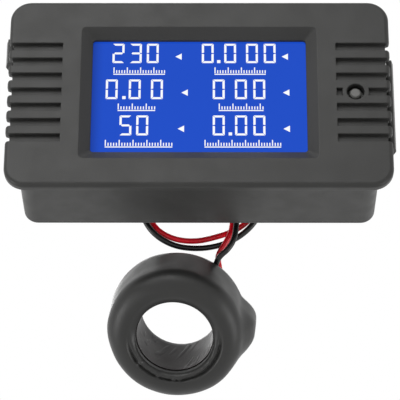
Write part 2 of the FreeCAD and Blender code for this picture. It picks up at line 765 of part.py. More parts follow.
def make_latch(side, name):
    """A springy tongue, rooted at the rear, that snaps behind the panel."""
    low, high = latch_span(side)
    wall = S["case_w"] / 2
    root_x = wall - S["latch_t"] / 2
    crest_x = wall + S["latch_reach"]
    body = new_body(name)
    profile = new_sketch(body, f"{name}_profile", "XY_Plane", (low + high) / 2)
    root_y = S["latch_root"]
    points = (
        (side * (root_x - S["latch_t"] / 2), root_y),
        (side * (crest_x - S["latch_t"]), S["latch_crest"] + S["latch_bend"]),
        (side * (crest_x - S["latch_t"] - S["latch_nose"]), S["latch_tip"]),
        (side * (crest_x - S["latch_nose"]), S["latch_tip"]),
        (side * crest_x, S["latch_crest"]),
        (side * (root_x + S["latch_t"] / 2), root_y),
    )
    draw_polygon(profile, points)
    extrude(body, "Pad", "tongue", profile, high - low, False, midplane=True)
    root = new_sketch(body, f"{name}_root", "XY_Plane", (low + high) / 2)
    draw_circle(root, side * root_x, root_y, S["latch_t"])
    extrude(body, "Pad", "root", root, high - low, False, midplane=True)
    return body


def chute_profile(inset, rear):
    """Side view of the chute: flat floor at the terminals, then a ramp out."""
    floor = S["chute_floor"] - S["chute_wall"] + inset
    low = S["block_top"] + S["fit_gap"] + HAIR
    bend = low + S["chute_flat"] - inset * RAMP_BEND
    end = S["chute_end"] + S["chute_wall"] - inset * RAMP_END
    return ((floor, low), (floor, bend), (rear, end), (rear, low))


def make_rear_cover():
    """Cover plate with its locating rim, block opening and sloped wire chute."""
    body = new_body("rear_cover")
    outline = front_sketch(body, "plate_outline", COVER_FRONT)
    draw_rounded_rectangle(outline, S["case_w"], S["case_ht"], S["case_corner"])
    plate = pad_back(body, "plate", outline, S["cover_t"])
    rear_edges = [
        f"Edge{i}"
        for i, edge in enumerate(plate.Shape.Edges, start=1)
        if edge.BoundBox.YMin > REAR.number - HAIR
    ]
    softened = body.newObject("PartDesign::Chamfer", "plate_bevel")
    softened.Base = (plate, rear_edges)
    follow(softened, "Size", S["cover_round"])

    rim = front_sketch(body, "rim_outline", COVER_FRONT - S["cover_rim"])
    corner = S["case_corner"] - S["wall_t"] - S["fit_gap"]
    outer_w, outer_ht = CAVITY_W - 2 * S["fit_gap"], CAVITY_HT - 2 * S["fit_gap"]
    draw_rounded_rectangle(rim, outer_w, outer_ht, corner)
    inner_w, inner_ht = outer_w - 2 * S["rim_t"], outer_ht - 2 * S["rim_t"]
    draw_rounded_rectangle(rim, inner_w, inner_ht, corner - S["rim_t"] / 2)
    pad_back(body, "rim", rim, S["cover_rim"])

    relief = front_sketch(body, "post_relief", COVER_FRONT - S["cover_rim"])
    holes = front_sketch(body, "screw_holes", COVER_FRONT)
    sinks = front_sketch(body, "screw_sinks", COVER_SEAT)
    for x, z in post_places():
        draw_circle(relief, x, z, S["post_d"] + 2 * S["fit_gap"])
        draw_circle(holes, x, z, S["screw_d"] + 2 * S["fit_gap"])
        draw_circle(sinks, x, z, S["screw_head"] + 2 * S["fit_gap"])
    pocket_back(body, "post_clearance", relief, S["cover_rim"])
    pocket_back(body, "screw_clearance", holes, S["cover_t"])
    pocket_back(body, "screw_recess", sinks, S["cover_t"])

    outer = new_sketch(body, "chute_outer", "YZ_Plane")
    draw_polygon(outer, chute_profile(0, COVER_FRONT + HAIR))
    full_w = S["chute_w"] + 2 * S["chute_wall"]
    extrude(body, "Pad", "chute_shell", outer, full_w, False, midplane=True)
    inner = new_sketch(body, "chute_inner", "YZ_Plane")
    draw_polygon(inner, chute_profile(S["chute_wall"], REAR + HAIR))
    extrude(body, "Pocket", "chute_hollow", inner, S["chute_w"], False, midplane=True)

    window = front_sketch(body, "block_window", COVER_FRONT)
    half = BLOCK_W / 2 + S["fit_gap"]
    bottom = BLOCK_LOW - S["fit_gap"]
    top = S["block_top"] + S["fit_gap"] + 10 * HAIR
    draw_polygon(window, ((-half, bottom), (half, bottom), (half, top), (-half, top)))
    pocket_back(body, "block_opening", window, S["cover_t"])
    return body


def make_board():
    """Main board with corner clearance for the posts and four screw holes."""
    depth = (S["board_front"], BOARD_REAR)
    slab = centred_box("board_slab", BOARD_W, BOARD_HT, depth)
    room = S["post_d"] / 2 + 2 * S["fit_gap"]
    inner = (POST_X - room, POST_Z - room)
    outer = (BOARD_W / 2 + PAST, BOARD_HT / 2 + PAST)
    tools = []
    for i, side in enumerate((-1, 1)):
        for j, end in enumerate((-1, 1)):
            across = (inner[0], outer[0]) if side > 0 else (-outer[0], -inner[0])
            up = (inner[1], outer[1]) if end > 0 else (-outer[1], -inner[1])
            tools.append(box(f"post_notch_{i}_{j}", across, depth, up))
    hole = S["screw_d"] + 2 * S["fit_gap"]
    tools += [
        rod(f"board_hole_{i}", hole, (x, S["board_front"], z), S["board_t"])
        for i, (x, z) in enumerate(boss_places())
    ]
    finish(cut("main_board", slab, tools), "main_board")


def cross_screw(name, x, z, head_front):
    """A pan-head screw with a cross recess, driven in from the rear."""
    head = rod(f"{name}_head", S["screw_head"], (x, head_front, z), S["screw_head_t"])
    shank_len = S["screw_bite"]
    shank = rod(f"{name}_shank", S["screw_d"], (x, head_front - shank_len, z), shank_len)
    rear = head_front + S["screw_head_t"]
    arm, slot = S["cross_long"], S["cross_w"]
    depth = (rear - S["screw_head_t"] / 2, rear + PAST)
    cross = [
        centred_box(f"{name}_slot_a", arm, slot, depth, x, z),
        centred_box(f"{name}_slot_b", slot, arm, depth, x, z),
    ]
    return cut(name, fused(f"{name}_blank", [head, shank]), cross)


def make_screws():
    """Four board screws and four cover screws, each a group of four."""
    screws = [
        cross_screw(f"board_screw_{i}", x, z, BOARD_REAR)
        for i, (x, z) in enumerate(boss_places())
    ]
    finish(fused("board_screws", screws), "board_screws")
    screws = [
        cross_screw(f"cover_screw_{i}", x, z, COVER_SEAT)
        for i, (x, z) in enumerate(post_places())
    ]
    finish(fused("cover_screws", screws), "cover_screws")


def make_display():
    """Front and rear glass, polariser, light guide, its tray, lamps and pins."""
    gap = S["seat_gap"]
    front = (INNER_FACE + gap, INNER_FACE + gap + S["glass_t"])
    rear = (front[1] + gap, front[1] + gap + S["glass_t"])
    film = (rear[1] + gap, rear[1] + gap + S["film_t"])
    guide = (film[1] + gap, film[1] + gap + S["guide_t"])
    rear_ht = S["glass_ht"] - S["ledge"]
    lift = S["ledge"] / 2
    pane = centred_box("front_pane", S["glass_w"], S["glass_ht"], front)
    finish(pane, "display_front_glass")
    pane = centred_box("rear_pane", S["glass_w"], rear_ht, rear, 0, lift)
    finish(pane, "display_rear_glass")
    film_w, film_ht = S["glass_w"] - 2 * S["tray_wall"], rear_ht - S["ledge"]
    finish(centred_box("rear_polariser", film_w, film_ht, film, 0, lift), "rear_polariser")

    lamp_room = S["led_t"] + 4 * gap
    guide_left = -film_w / 2 + S["fit_gap"]
    guide_right = film_w / 2 - S["fit_gap"] - lamp_room
    low = lift - film_ht / 2 + S["fit_gap"]
    high = lift + film_ht / 2 - S["fit_gap"]
    plate = box("guide_plate", (guide_left, guide_right), guide, (low, high))
    finish(plate, "light_guide")

    tray_w, tray_ht = film_w + 2 * S["tray_wall"], film_ht + 2 * S["tray_wall"]
    tray_depth = (film[0], S["board_front"])
    tray = centred_box("tray_block", tray_w, tray_ht, tray_depth, 0, lift)
    hollow = centred_box("tray_hollow", film_w, film_ht, (film[0], guide[1]), 0, lift)
    finish(cut("backlight_tray", tray, [hollow]), "backlight_tray")

    lamps = []
    for row in (-1, 0, 1):
        start = guide_right + gap
        centre = lift + row * rear_ht / 3
        span = (centre - S["led_w"] / 2, centre + S["led_w"] / 2)
        lamps.append(box(f"lamp_{row + 1}", (start, start + S["led_t"]), (guide[0], guide[1]), span))
    finish(fused("backlight_lamps", lamps), "backlight_lamps")

    pin_z = -S["glass_ht"] / 2 + S["pin_d"] / 2
    pin_depth = (front[1] + gap, S["board_front"])
    pins = []
    for i in range(PIN_COUNT):
        x = (i - (PIN_COUNT - 1) / 2) * S["pin_pitch"]
        pins.append(centred_box(f"display_pin_{i}", S["pin_d"], S["pin_d"], pin_depth, x, pin_z))
    finish(fused("display_pins", pins), "display_pins")


def make_key():
    """Reset button with its collar, the switch under it and its plunger."""
    top = FACE + S["key_recess"]
    collar_front = INNER_FACE + S["fit_gap"]
    collar_rear = collar_front + S["key_collar_t"]
    stem = rod("key_stem", S["key_top"], (KEY_X, top, 0), collar_rear - top)
    domed = bevelled(
        "key_dome", stem, S["key_round"], lambda edge: edge.BoundBox.YMax < top.number + HAIR
    )
    collar = rod("key_collar", S["key_collar"], (KEY_X, collar_front, 0), S["key_collar_t"])
    finish(fused("reset_button", [domed, collar]), "reset_button")

    switch_front = S["board_front"] - S["switch_t"]
    depth = (switch_front, S["board_front"])
    case = centred_box("switch_case", S["switch_w"], S["switch_w"], depth, KEY_X, 0)
    plunger_foot = switch_front + S["plunger_sink"]
    well_rear = plunger_foot + S["key_travel"] + S["fit_gap"]
    bore = rod(
        "switch_bore",
        S["plunger_d"] + S["fit_gap"],
        (KEY_X, switch_front, 0),
        well_rear - switch_front,
    )
    finish(cut("tact_switch", case, [bore]), "tact_switch")
    start = collar_rear + S["seat_gap"]
    plunger = rod("plunger", S["plunger_d"], (KEY_X, start, 0), plunger_foot - start)
    finish(plunger, "switch_plunger")


def contact_leg_low():
    """Lower side of the contacts' legs, below the chambers."""
    return CLAMP_Z - S["clamp_ht"] / 2 - S["slide_gap"] - S["contact_drop"]


def chamber_tools(i, x):
    """What is cut from the block for one terminal."""
    slide_w = S["clamp_w"] + 2 * S["slide_gap"]
    slide_ht = S["clamp_ht"] + 2 * S["slide_gap"]
    shoulder = CLAMP_HEAD_SEAT - S["clamp_shoulder"]
    chamber = centred_box(f"chamber_{i}", slide_w, slide_ht, (CHAMBER_FLOOR, shoulder), x, CLAMP_Z)

    waist_d = S["clamp_screw_d"] + 2 * S["fit_gap"]
    waist = rod(f"waist_{i}", waist_d, (x, shoulder, CLAMP_Z), S["clamp_shoulder"])
    shaft_d = S["clamp_head_d"] + 2 * S["fit_gap"]
    shaft_len = BLOCK_REAR - CLAMP_HEAD_SEAT
    shaft = rod(f"shaft_{i}", shaft_d, (x, CLAMP_HEAD_SEAT, CLAMP_Z), shaft_len)

    half = S["clamp_w"] / 2 - S["clamp_wall"]
    entry_depth = (BAR_REAR - S["clamp_travel"], CONTACT_REAR - S["contact_t"] + S["fit_gap"])
    entry_z = (S["block_top"] - S["block_skin"] - S["fit_gap"], S["block_top"])
    entry = box(f"entry_{i}", (x - half, x + half), entry_depth, entry_z)

    half = S["contact_w"] / 2 + S["fit_gap"]
    slot_depth = (BOARD_REAR, CONTACT_REAR + S["fit_gap"])
    slot_z = (contact_leg_low() - S["fit_gap"], CLAMP_Z)
    slot = box(f"slot_{i}", (x - half, x + half), slot_depth, slot_z)
    return [chamber, waist, shaft, entry, slot]


def make_terminal_block():
    """Four chambers, each with a screw shaft, a cage, a contact and an entry."""
    middle = S["block_top"] - S["block_ht"] / 2
    depth = (BOARD_REAR, BLOCK_REAR)
    body = centred_box("block_body", BLOCK_W, S["block_ht"], depth, 0, middle)
    tools = []
    for i, pole in enumerate(POLES):
        tools += chamber_tools(i, pole * S["pole_pitch"])
    finish(cut("terminal_block", body, tools), "terminal_block")

    contacts = []
    half = S["contact_w"] / 2
    low = contact_leg_low()
    strip_depth = (CONTACT_REAR - S["contact_t"], CONTACT_REAR)
    for i, pole in enumerate(POLES):
        x = pole * S["pole_pitch"]
        across = (x - half, x + half)
        strip = box(f"strip_{i}", across, strip_depth, (low, CLAMP_Z + S["clamp_ht"] / 2))
        leg_depth = (BOARD_REAR, CONTACT_REAR)
        leg = box(f"leg_{i}", across, leg_depth, (low, low + S["contact_t"]))
        contacts.append(fused(f"contact_{i}", [strip, leg]))
    finish(fused("terminal_contacts", contacts), "terminal_contacts")


def make_clamp_screw(number, x):
    """A slotted screw that turns in its shoulder and drives its cage."""
    tip = CONTACT_REAR + S["fit_gap"]
    head_start = CLAMP_HEAD_SEAT + S["seat_gap"]
    head_rear = head_start + S["clamp_head_t"]
    shank_len = head_start + S["clamp_head_t"] / 2 - tip
    shank = rod(f"clamp_shank_{number}", S["clamp_screw_d"], (x, tip, CLAMP_Z), shank_len)
    head_place = (x, head_start, CLAMP_Z)
    head = rod(f"clamp_head_{number}", S["clamp_head_d"], head_place, S["clamp_head_t"])
    slot_long = S["clamp_head_d"] + S["fit_gap"]
    slot_depth = (head_rear - S["clamp_slot_deep"], head_rear + PAST)
    slot = centred_box(
        f"clamp_slot_{number}", slot_long, S["clamp_slot_w"], slot_depth, x, CLAMP_Z
    )
    blank = fused(f"clamp_blank_{number}", [shank, head])
    finish(cut(f"clamp_screw_{number}", blank, [slot]), f"clamp_screw_{number}")


def make_clamp_cage(number, x):
    """A cage whose crown rides on the screw and whose bar lifts the wire."""
    depth = (BAR_REAR - S["clamp_bar"], CLAMP_TOP)
    crown_front = CLAMP_TOP - S["clamp_crown"]
    block = centred_box(f"cage_block_{number}", S["clamp_w"], S["clamp_ht"], depth, x, CLAMP_Z)
    opening_w = S["clamp_w"] - 2 * S["clamp_wall"]
    opening = (BAR_REAR, crown_front)
    window = centred_box(
        f"cage_window_{number}", opening_w, S["clamp_ht"], opening, x, CLAMP_Z
    )
    hole_d = S["clamp_screw_d"] + 2 * S["thread_gap"]
    hole = rod(f"cage_hole_{number}", hole_d, (x, crown_front, CLAMP_Z), S["clamp_crown"])
    finish(cut(f"clamp_cage_{number}", block, [window, hole]), f"clamp_cage_{number}")


def make_clamps():
    for number, pole in enumerate(POLES, start=1):
        x = pole * S["pole_pitch"]
        make_clamp_screw(number, x)
        make_clamp_cage(number, x)


def make_ferrules():
    """Crimped ferrules on the two leads, held in their cages."""
    ferrules = []
    tube_low = CLAMP_Z - S["clamp_ht"] / 2 + 2 * S["fit_gap"]
    tube_len = COLLAR_LOW - tube_low
    for i, pole in enumerate(LEAD_POLES):
        x = pole * S["pole_pitch"]
        tube = rod(f"ferrule_tube_{i}", S["ferrule_d"], (x, WIRE_Y, tube_low), tube_len, "z")
        collar_place = (x, WIRE_Y, COLLAR_LOW)
        collar = rod(
            f"ferrule_collar_{i}", S["ferrule_collar"], collar_place, S["ferrule_sleeve"], "z"
        )
        ferrules.append(fused(f"ferrule_{i}", [tube, collar]))
    finish(fused("lead_ferrules", ferrules), "lead_ferrules")


def make_board_parts():
    """The tall parts and chips on the rear of the board, set out from its sides,
    from the chute and from the board screws."""
    left = -BOARD_W / 2 + S["part_margin"]
    right = BOARD_W / 2 - S["part_margin"]
    beside_chute = S["chute_w"] / 2 + S["chute_wall"] + S["part_margin"]
    top = BOSS_Z - S["screw_head"] / 2 - S["part_gap"]
    bottom = -top

    film_low = top - S["film_cap_ht"]
    film_right = left + S["film_cap_w"]
    film_depth = (BOARD_REAR, BOARD_REAR + S["film_cap_t"])
    film = box("film_block", (left, film_right), film_depth, (film_low, top))
    film_smooth = rounded("film_smooth", film, S["part_round"], lambda edge: not along(edge, "y"))
    finish(film_smooth, "film_capacitor")

    fuse_z = film_low - S["part_gap"] - S["fuse_d"] / 2
    make_lying_tube("fuse_resistor", left, fuse_z, S["fuse_d"], S["fuse_long"])
    legs_top = fuse_z - S["fuse_d"] / 2 - S["part_gap"]
    metering_top = legs_top - S["chip_leg_out"]
    metering = (left, left + S["metering_w"]), (metering_top - S["metering_ht"], metering_top)
    make_chip("metering_chip", *metering, METERING_PAIR_COUNT)
    burden_z = bottom + S["burden_d"] / 2
    make_lying_tube("burden_resistor", left, burden_z, S["burden_d"], S["burden_long"])
    make_varistor(film_right - S["disc_t"], bottom + S["disc_d"] / 2)

    make_can(beside_chute + S["can_d"] / 2, bottom + S["can_d"] / 2)
    make_bridge(right - S["processor_w"] - S["part_gap"] - S["bridge_w"], top)
    processor_top = top - S["chip_leg_out"]
    processor_low = processor_top - S["processor_ht"]
    processor = (right - S["processor_w"], right), (processor_low, processor_top)
    make_chip("processor_chip", *processor, PROCESSOR_PAIR_COUNT)

    crystal_top = processor_low - S["chip_leg_out"] - S["part_gap"]
    crystal_depth = (BOARD_REAR, BOARD_REAR + S["crystal_t"])
    crystal_z = (crystal_top - S["crystal_ht"], crystal_top)
    crystal = box("crystal_block", (right - S["crystal_w"], right), crystal_depth, crystal_z)
    crystal_smooth = rounded(
        "crystal_smooth", crystal, S["crystal_round"], lambda edge: along(edge, "y")
    )
    finish(crystal_smooth, "crystal")


def make_lying_tube(name, left, z, diameter, length):
    """A resistor that lies along the board on two legs."""
    axis_y = BOARD_REAR + S["tube_lift"] + diameter / 2
    tube = rod(f"{name}_tube", diameter, (left, axis_y, z), length, "x")
    legs = [
        rod(f"{name}_leg_{i}", S["leg_d"], (x, BOARD_REAR, z), axis_y - BOARD_REAR)
        for i, x in enumerate((left + S["leg_inset"], left + length - S["leg_inset"]))
    ]
    finish(fused(name, [tube] + legs), name)


def make_varistor(left, z):
    """A disc that stands on two legs."""
    axis_y = BOARD_REAR + S["disc_lift"] + S["disc_d"] / 2
    disc = rod("disc", S["disc_d"], (left, axis_y, z), S["disc_t"], "x")
    domed = bevelled("disc_bevel", disc, S["part_round"], lambda edge: not along(edge, "x"))
    middle = left + S["disc_t"] / 2
    legs = [
        rod(f"disc_leg_{i}", S["leg_d"], (middle, BOARD_REAR, z + offset), axis_y - BOARD_REAR)
        for i, offset in enumerate((-S["disc_legs"] / 2, S["disc_legs"] / 2))
    ]
    finish(fused("varistor", [domed] + legs), "varistor")


def make_can(x, z):
    """A round capacitor on its seal, rolled over at the far end."""
    front = BOARD_REAR + S["can_lift"]
    rear = front + S["can_t"]
    can = rod("can_body", S["can_d"], (x, front, z), S["can_t"])
    seal = rod("can_seal", S["can_foot"], (x, BOARD_REAR, z), 2 * S["can_lift"])
    rolled = bevelled(
        "can_bevel", can, S["part_round"], lambda edge: edge.BoundBox.YMin > rear.number - HAIR
    )
    finish(fused("electrolytic_capacitor", [rolled, seal]), "electrolytic_capacitor")


def make_bridge(left, top):
    """A flat rectifier on four feet."""
    front = BOARD_REAR + S["bridge_lift"]
    low = top - S["bridge_ht"]
    case_depth = (front, front + S["bridge_t"])
    case = box("bridge_case", (left, left + S["bridge_w"]), case_depth, (low, top))
    foot = S["bridge_foot"]
    feet = []
    for i, x in enumerate((left + foot, left + S["bridge_w"] - 2 * foot)):
        for j, z in enumerate((low + foot, top - 2 * foot)):
            depth = (BOARD_REAR, front + foot / 2)
            feet.append(box(f"bridge_foot_{i}_{j}", (x, x + foot), depth, (z, z + foot)))
    finish(fused("bridge_rectifier", [case] + feet), "bridge_rectifier")


def make_chip(name, across, up, pairs):
    """A flat chip with a row of legs along its upper and its lower side."""
    front = BOARD_REAR + S["chip_lift"]
    case = box(f"{name}_case", across, (front, front + S["chip_t"]), up)
    out, tuck, leg_w = S["chip_leg_out"], S["chip_leg_w"], S["chip_leg_w"]
    rows = ((up[0] - out, up[0] + tuck), (up[1] - tuck, up[1] + out))
    pitch = (across[1] - across[0]) / pairs
    legs = []
    for i in range(pairs):
        start = across[0] + pitch * (i + 0.5) - leg_w / 2
        for j, row in enumerate(rows):
            depth = (BOARD_REAR, BOARD_REAR + S["chip_leg_t"])
            legs.append(box(f"{name}_leg_{i}_{j}", (start, start + leg_w), depth, row))
    finish(fused(name, [case] + legs), name)


def transformer_centre():
    return FreeCAD.Vector(S["ct_x"].number, S["ct_y"].number, S["ct_z"].number)


def transformer_place():
    """Placement of the ring: its own Z is the bore axis, towards the viewer."""
    turn = FreeCAD.Rotation(FreeCAD.Vector(0, 0, 1), S["ct_turn"].number)
    dip = FreeCAD.Rotation(FreeCAD.Vector(1, 0, 0), 90 + S["ct_dip"].number)
    return FreeCAD.Placement(transformer_centre(), turn * dip)


def on_ring(piece, name):
    """Name a piece made about the ring's own axis and put it in its place."""
    finish(piece, name)
    piece.Placement = transformer_place()
    return piece


def ring_rod(name, radius, half):
    return rod(name, 2 * radius, (0, 0, -half), 2 * half, "z")


def arc_corners(x, z, radius, first, last):
    """Corners along an arc about a middle, between two directions in degrees."""
    corners = []
    for i in range(CHORD_COUNT + 1):
        angle = math.radians(first + (last - first) * i / CHORD_COUNT)
        corners.append((x + radius * math.cos(angle), z + radius * math.sin(angle)))
    return corners


def turned(name, upper):
    """A form turned about Z from the upper half of its outline, and its mirror."""
    body = doc.addObject("PartDesign::Body", name)
    sketch = new_sketch(body, f"{name}_outline", "XZ_Plane")
    draw_polygon(sketch, upper + [(x, -z) for x, z in reversed(upper)])
    doc.recompute()
    ring = body.newObject("PartDesign::Revolution", f"{name}_turn")
    ring.Profile = sketch
    ring.ReferenceAxis = (sketch, ["V_Axis"])
    ring.Angle = 360
    doc.recompute()
    if body.Shape.Volume <= 0:
        raise RuntimeError(f"{name} has no volume")
    return body


def sleeve_outline():
    """The sleeve's outer form: a bead at the bore, a flat face, a round rim."""
    bead, half, rim = S["ct_bead"], S["ct_half"], S["ct_round"]
    bead_x = S["ct_bore"] + S["ct_lip"] + bead
    corners = arc_corners(bead_x, half - S["bead_sink"], bead, 180, 45)
    corners.append((bead_x + bead, half))
    return corners + arc_corners(S["ct_outer"] - rim, half - rim, rim, 90, 0)


def lump_outline():
    """Half of the splice lump's outline, from its end on the axis to its belt."""
    step = math.pi / (2 * CHORD_COUNT + 1)
    angles = [i * step for i in range(CHORD_COUNT + 1)]
    return [
        (S["splice_round"] * math.sin(angle), S["splice_long"] * math.cos(angle))
        for angle in angles
    ]


def bevelled_ring(name, inner, outer, half):
    """A ring with its two outer edges bevelled to lie inside the sleeve's round."""
    leg = (S["ct_round"] - S["ct_skin"]) * BEVEL_SHARE
    return turned(name, [(inner, half), (outer - leg, half), (outer, half - leg)])


def make_transformer():
    """Liner, core, winding and rubber sleeve of the current transformer."""
    half = S["ct_half"]
    inner_half = half - S["ct_skin"]
    cavity_r = S["ct_outer"] - S["ct_skin"]

    smooth = turned("sleeve_form", sleeve_outline())
    lump = turned("splice_lump", lump_outline())
    lump.Placement.Rotation = TURNS["y"]
    follow_place(lump, S["ct_outer"] - S["splice_sink"], S["splice_along"], S["splice_axial"])
    skin = fused("sleeve_skin", [smooth, lump])
    hollow = bevelled_ring("sleeve_hollow", S["ct_bore"], cavity_r, inner_half)
    on_ring(cut("ct_sleeve", skin, [hollow]), "ct_sleeve")

    liner_r = S["ct_bore"] + S["liner_t"]
    liner_half = inner_half - S["seat_gap"]
    tube = ring_rod("liner_tube", liner_r, liner_half)
    hole = ring_rod("liner_hole", S["ct_bore"], half)
    on_ring(cut("ct_liner", tube, [hole]), "ct_liner")

    coil_r = cavity_r - S["seat_gap"]
    coil_in = liner_r + S["seat_gap"]
    coil = bevelled_ring("coil_form", coil_in, coil_r, liner_half)
    core_in, core_out = coil_in + S["coil_t"], coil_r - S["coil_t"]
    core_half = liner_half - S["coil_t"]
    gap = S["seat_gap"]
    room_z = core_half + gap
    room = turned("core_room", [(core_in - gap, room_z), (core_out + gap, room_z)])
    on_ring(cut("ct_winding", coil, [room]), "ct_winding")

    disc = ring_rod("core_disc", core_out, core_half)
    hole = ring_rod("core_hole", core_in, half)
    on_ring(cut("ct_core", disc, [hole]), "ct_core")
    return skin


def boot_frame():
    """Axis, sideways and remaining direction of the boot, all square."""
    axis = FreeCAD.Vector(BOOT_AXIS).normalize()
    side = FreeCAD.Vector(BOOT_SIDE) - axis * BOOT_SIDE.dot(axis)
    side.normalize()
    return axis, side, axis.cross(side)


def make_boot(skin):
    """A flat boot round both leads where they leave the sleeve."""
    axis, side, other = boot_frame()
    radius = S["lead_d"] / 2 + S["boot_wall"]
    spread = S["lead_gap"] / 2
    length = S["boot_len"] + S["ct_round"]
    halves = [
        rod(f"boot_side_{i}", 2 * radius, (spread * sign, 0, -length), length, "z")
        for i, sign in enumerate((-1, 1))
    ]
    middle = box("boot_middle", (-spread, spread), (-radius, radius), (-length, as_size(0)))
    pill = fused("boot_pill", halves + [middle])
    turn = FreeCAD.Rotation(side, other, axis, "ZXY")
    pill.Placement = FreeCAD.Placement(transformer_centre() + BOOT_OFFSET, turn)
    block = doc.addObject("Part::Compound", "sleeve_envelope")
    block.Links = [skin]
    block.Placement = transformer_place()
    finish(cut("ct_lead_boot", pill, [block]), "ct_lead_boot")


def lead_points(route, pole, sign):
    """The route's points, ended square to the ferrule collar and the boot."""
    axis, side, _ = boot_frame()
    points = [FreeCAD.Vector(*point) for point in route]
    x = (pole * S["pole_pitch"]).number
    collar = (COLLAR_LOW + S["ferrule_sleeve"]).number
    points[0] = FreeCAD.Vector(x, WIRE_Y.number, collar)
    points[1] = FreeCAD.Vector(x, WIRE_Y.number, points[1].z)
    boot_end = transformer_centre() + BOOT_OFFSET
    foot = boot_end + side * (sign * S["lead_gap"].number / 2)
    points[-1] = foot + axis * S["boot_run"].number
    return points + [foot]


def lead_path(points):
    """Straight runs joined by tangent arcs, as large as the runs allow."""
    edges, radii = [], []
    start = points[0]
    length = 0.0
    for before, corner, after in zip(points, points[1:], points[2:]):
        run_in, run_out = corner - before, after - corner
        turn = run_in.getAngle(run_out)
        reach = ARC_SHARE * min(run_in.Length, run_out.Length)
        radius = reach / math.tan(turn / 2)
        unit_in = FreeCAD.Vector(run_in).normalize()
        unit_out = FreeCAD.Vector(run_out).normalize()
        first, last = corner - unit_in * reach, corner + unit_out * reach
        bisector = (unit_out - unit_in).normalize()
        middle = corner + bisector * (radius / math.cos(turn / 2) - radius)
        edges.append(Part.LineSegment(start, first).toShape())
        edges.append(Part.Arc(first, middle, last).toShape())
        length += (first - start).Length + radius * turn
        radii.append(radius)
        start = last
    edges.append(Part.LineSegment(start, points[-1]).toShape())
    length += (points[-1] - start).Length
    return Part.Wire(edges), radii, length


def lead_section(start, direction, radius):
    """An outline of flat sides with the round lead's area."""
    side = direction.cross(FreeCAD.Vector(1, 0, 0)).normalize()
    other = direction.cross(side)
    step = 2 * math.pi / LEAD_SIDE_COUNT
    reach = radius * math.sqrt(step / math.sin(step))
    corners = [
        start + side * (reach * math.cos(i * step)) + other * (reach * math.sin(i * step))
        for i in range(LEAD_SIDE_COUNT)
    ]
    return Part.makePolygon(corners + corners[:1])


def make_lead(name, route, pole, sign):
    """One lead as a tube of its full length along its route."""
    points = lead_points(route, pole, sign)
    path, radii, length = lead_path(points)
    radius = S["lead_d"].number / 2
    direction = (points[1] - points[0]).normalize()
    section = lead_section(points[0], direction, radius)
    lead = doc.addObject("Part::Feature", name)
    lead.Shape = path.makePipeShell([section], True, False)
    lead.Placement = FreeCAD.Placement()
    finish(lead, name)
    share = lead.Shape.Volume / (math.pi * radius**2 * length)
    print(f"{name}: length {length:.1f}, volume share {share:.4f}")
    print(f"{name}: radii " + ", ".join(f"{value:.1f}" for value in radii))


def check_and_export():
    """Check every object and piece, then write one file for each piece."""
    doc.recompute()
    for item in doc.Objects:
        if "Invalid" in item.State or "Error" in item.State:
            raise RuntimeError(f"{item.Name} is {item.State}")
    os.makedirs("parts", exist_ok=True)
    for piece in PARTS:
        shape = piece.Shape
        if shape.isNull() or not shape.isValid() or shape.Volume <= 0:
            raise RuntimeError(f"{piece.Label} has no sound shape")
        shape.exportStep(f"parts/{piece.Label}.step")
        print(f"{piece.Label}: {len(shape.Solids)} solid(s), {shape.Volume:.1f} cubic mm")
    print(f"{len(PARTS)} pieces")


make_front_shell()
make_latch(-1, "latch_left")
make_latch(1, "latch_right")
make_rear_cover()
make_board()
make_screws()
make_display()
make_key()
make_terminal_block()
make_clamps()
make_ferrules()
make_board_parts()
sleeve_skin = make_transformer()
make_boot(sleeve_skin)
make_lead("lead_red", RED_ROUTE, LEAD_POLES[0], -1)
make_lead("lead_black", BLACK_ROUTE, LEAD_POLES[1], 1)
check_and_export()
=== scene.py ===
import math

import bmesh
import bpy
from mathutils import Matrix, Vector, noise


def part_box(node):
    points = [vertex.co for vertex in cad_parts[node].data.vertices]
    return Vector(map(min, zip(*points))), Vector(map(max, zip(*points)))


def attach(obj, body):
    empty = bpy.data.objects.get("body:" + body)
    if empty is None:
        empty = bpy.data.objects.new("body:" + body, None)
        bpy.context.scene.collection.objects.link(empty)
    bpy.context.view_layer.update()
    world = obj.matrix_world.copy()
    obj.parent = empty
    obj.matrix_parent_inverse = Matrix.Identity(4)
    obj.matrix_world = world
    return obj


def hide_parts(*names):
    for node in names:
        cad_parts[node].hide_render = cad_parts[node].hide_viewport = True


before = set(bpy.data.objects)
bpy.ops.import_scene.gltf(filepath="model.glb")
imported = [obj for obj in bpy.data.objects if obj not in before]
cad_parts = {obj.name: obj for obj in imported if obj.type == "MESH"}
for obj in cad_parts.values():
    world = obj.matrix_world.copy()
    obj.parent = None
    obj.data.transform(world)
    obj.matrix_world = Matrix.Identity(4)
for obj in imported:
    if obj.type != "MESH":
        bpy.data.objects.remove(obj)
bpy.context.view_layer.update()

# The frame is the part's own, in metres: X to the right of someone facing the
# display, Y into the panel, Z up.
MM = 0.001

# Camera, fitted to the photograph: it looks up at the meter from in front.
CAMERA_TARGET = Vector((0.000338, -0.0022, -0.028472))
CAMERA_DISTANCE = 0.5089
CAMERA_PITCH = 0.4767
CAMERA_YAW = -0.00782
CAMERA_ROLL = 0.00425
CAMERA_LENS = 201.6
SENSOR_WIDTH = 36
CLIP_NEAR = 0.01
CLIP_FAR = 20

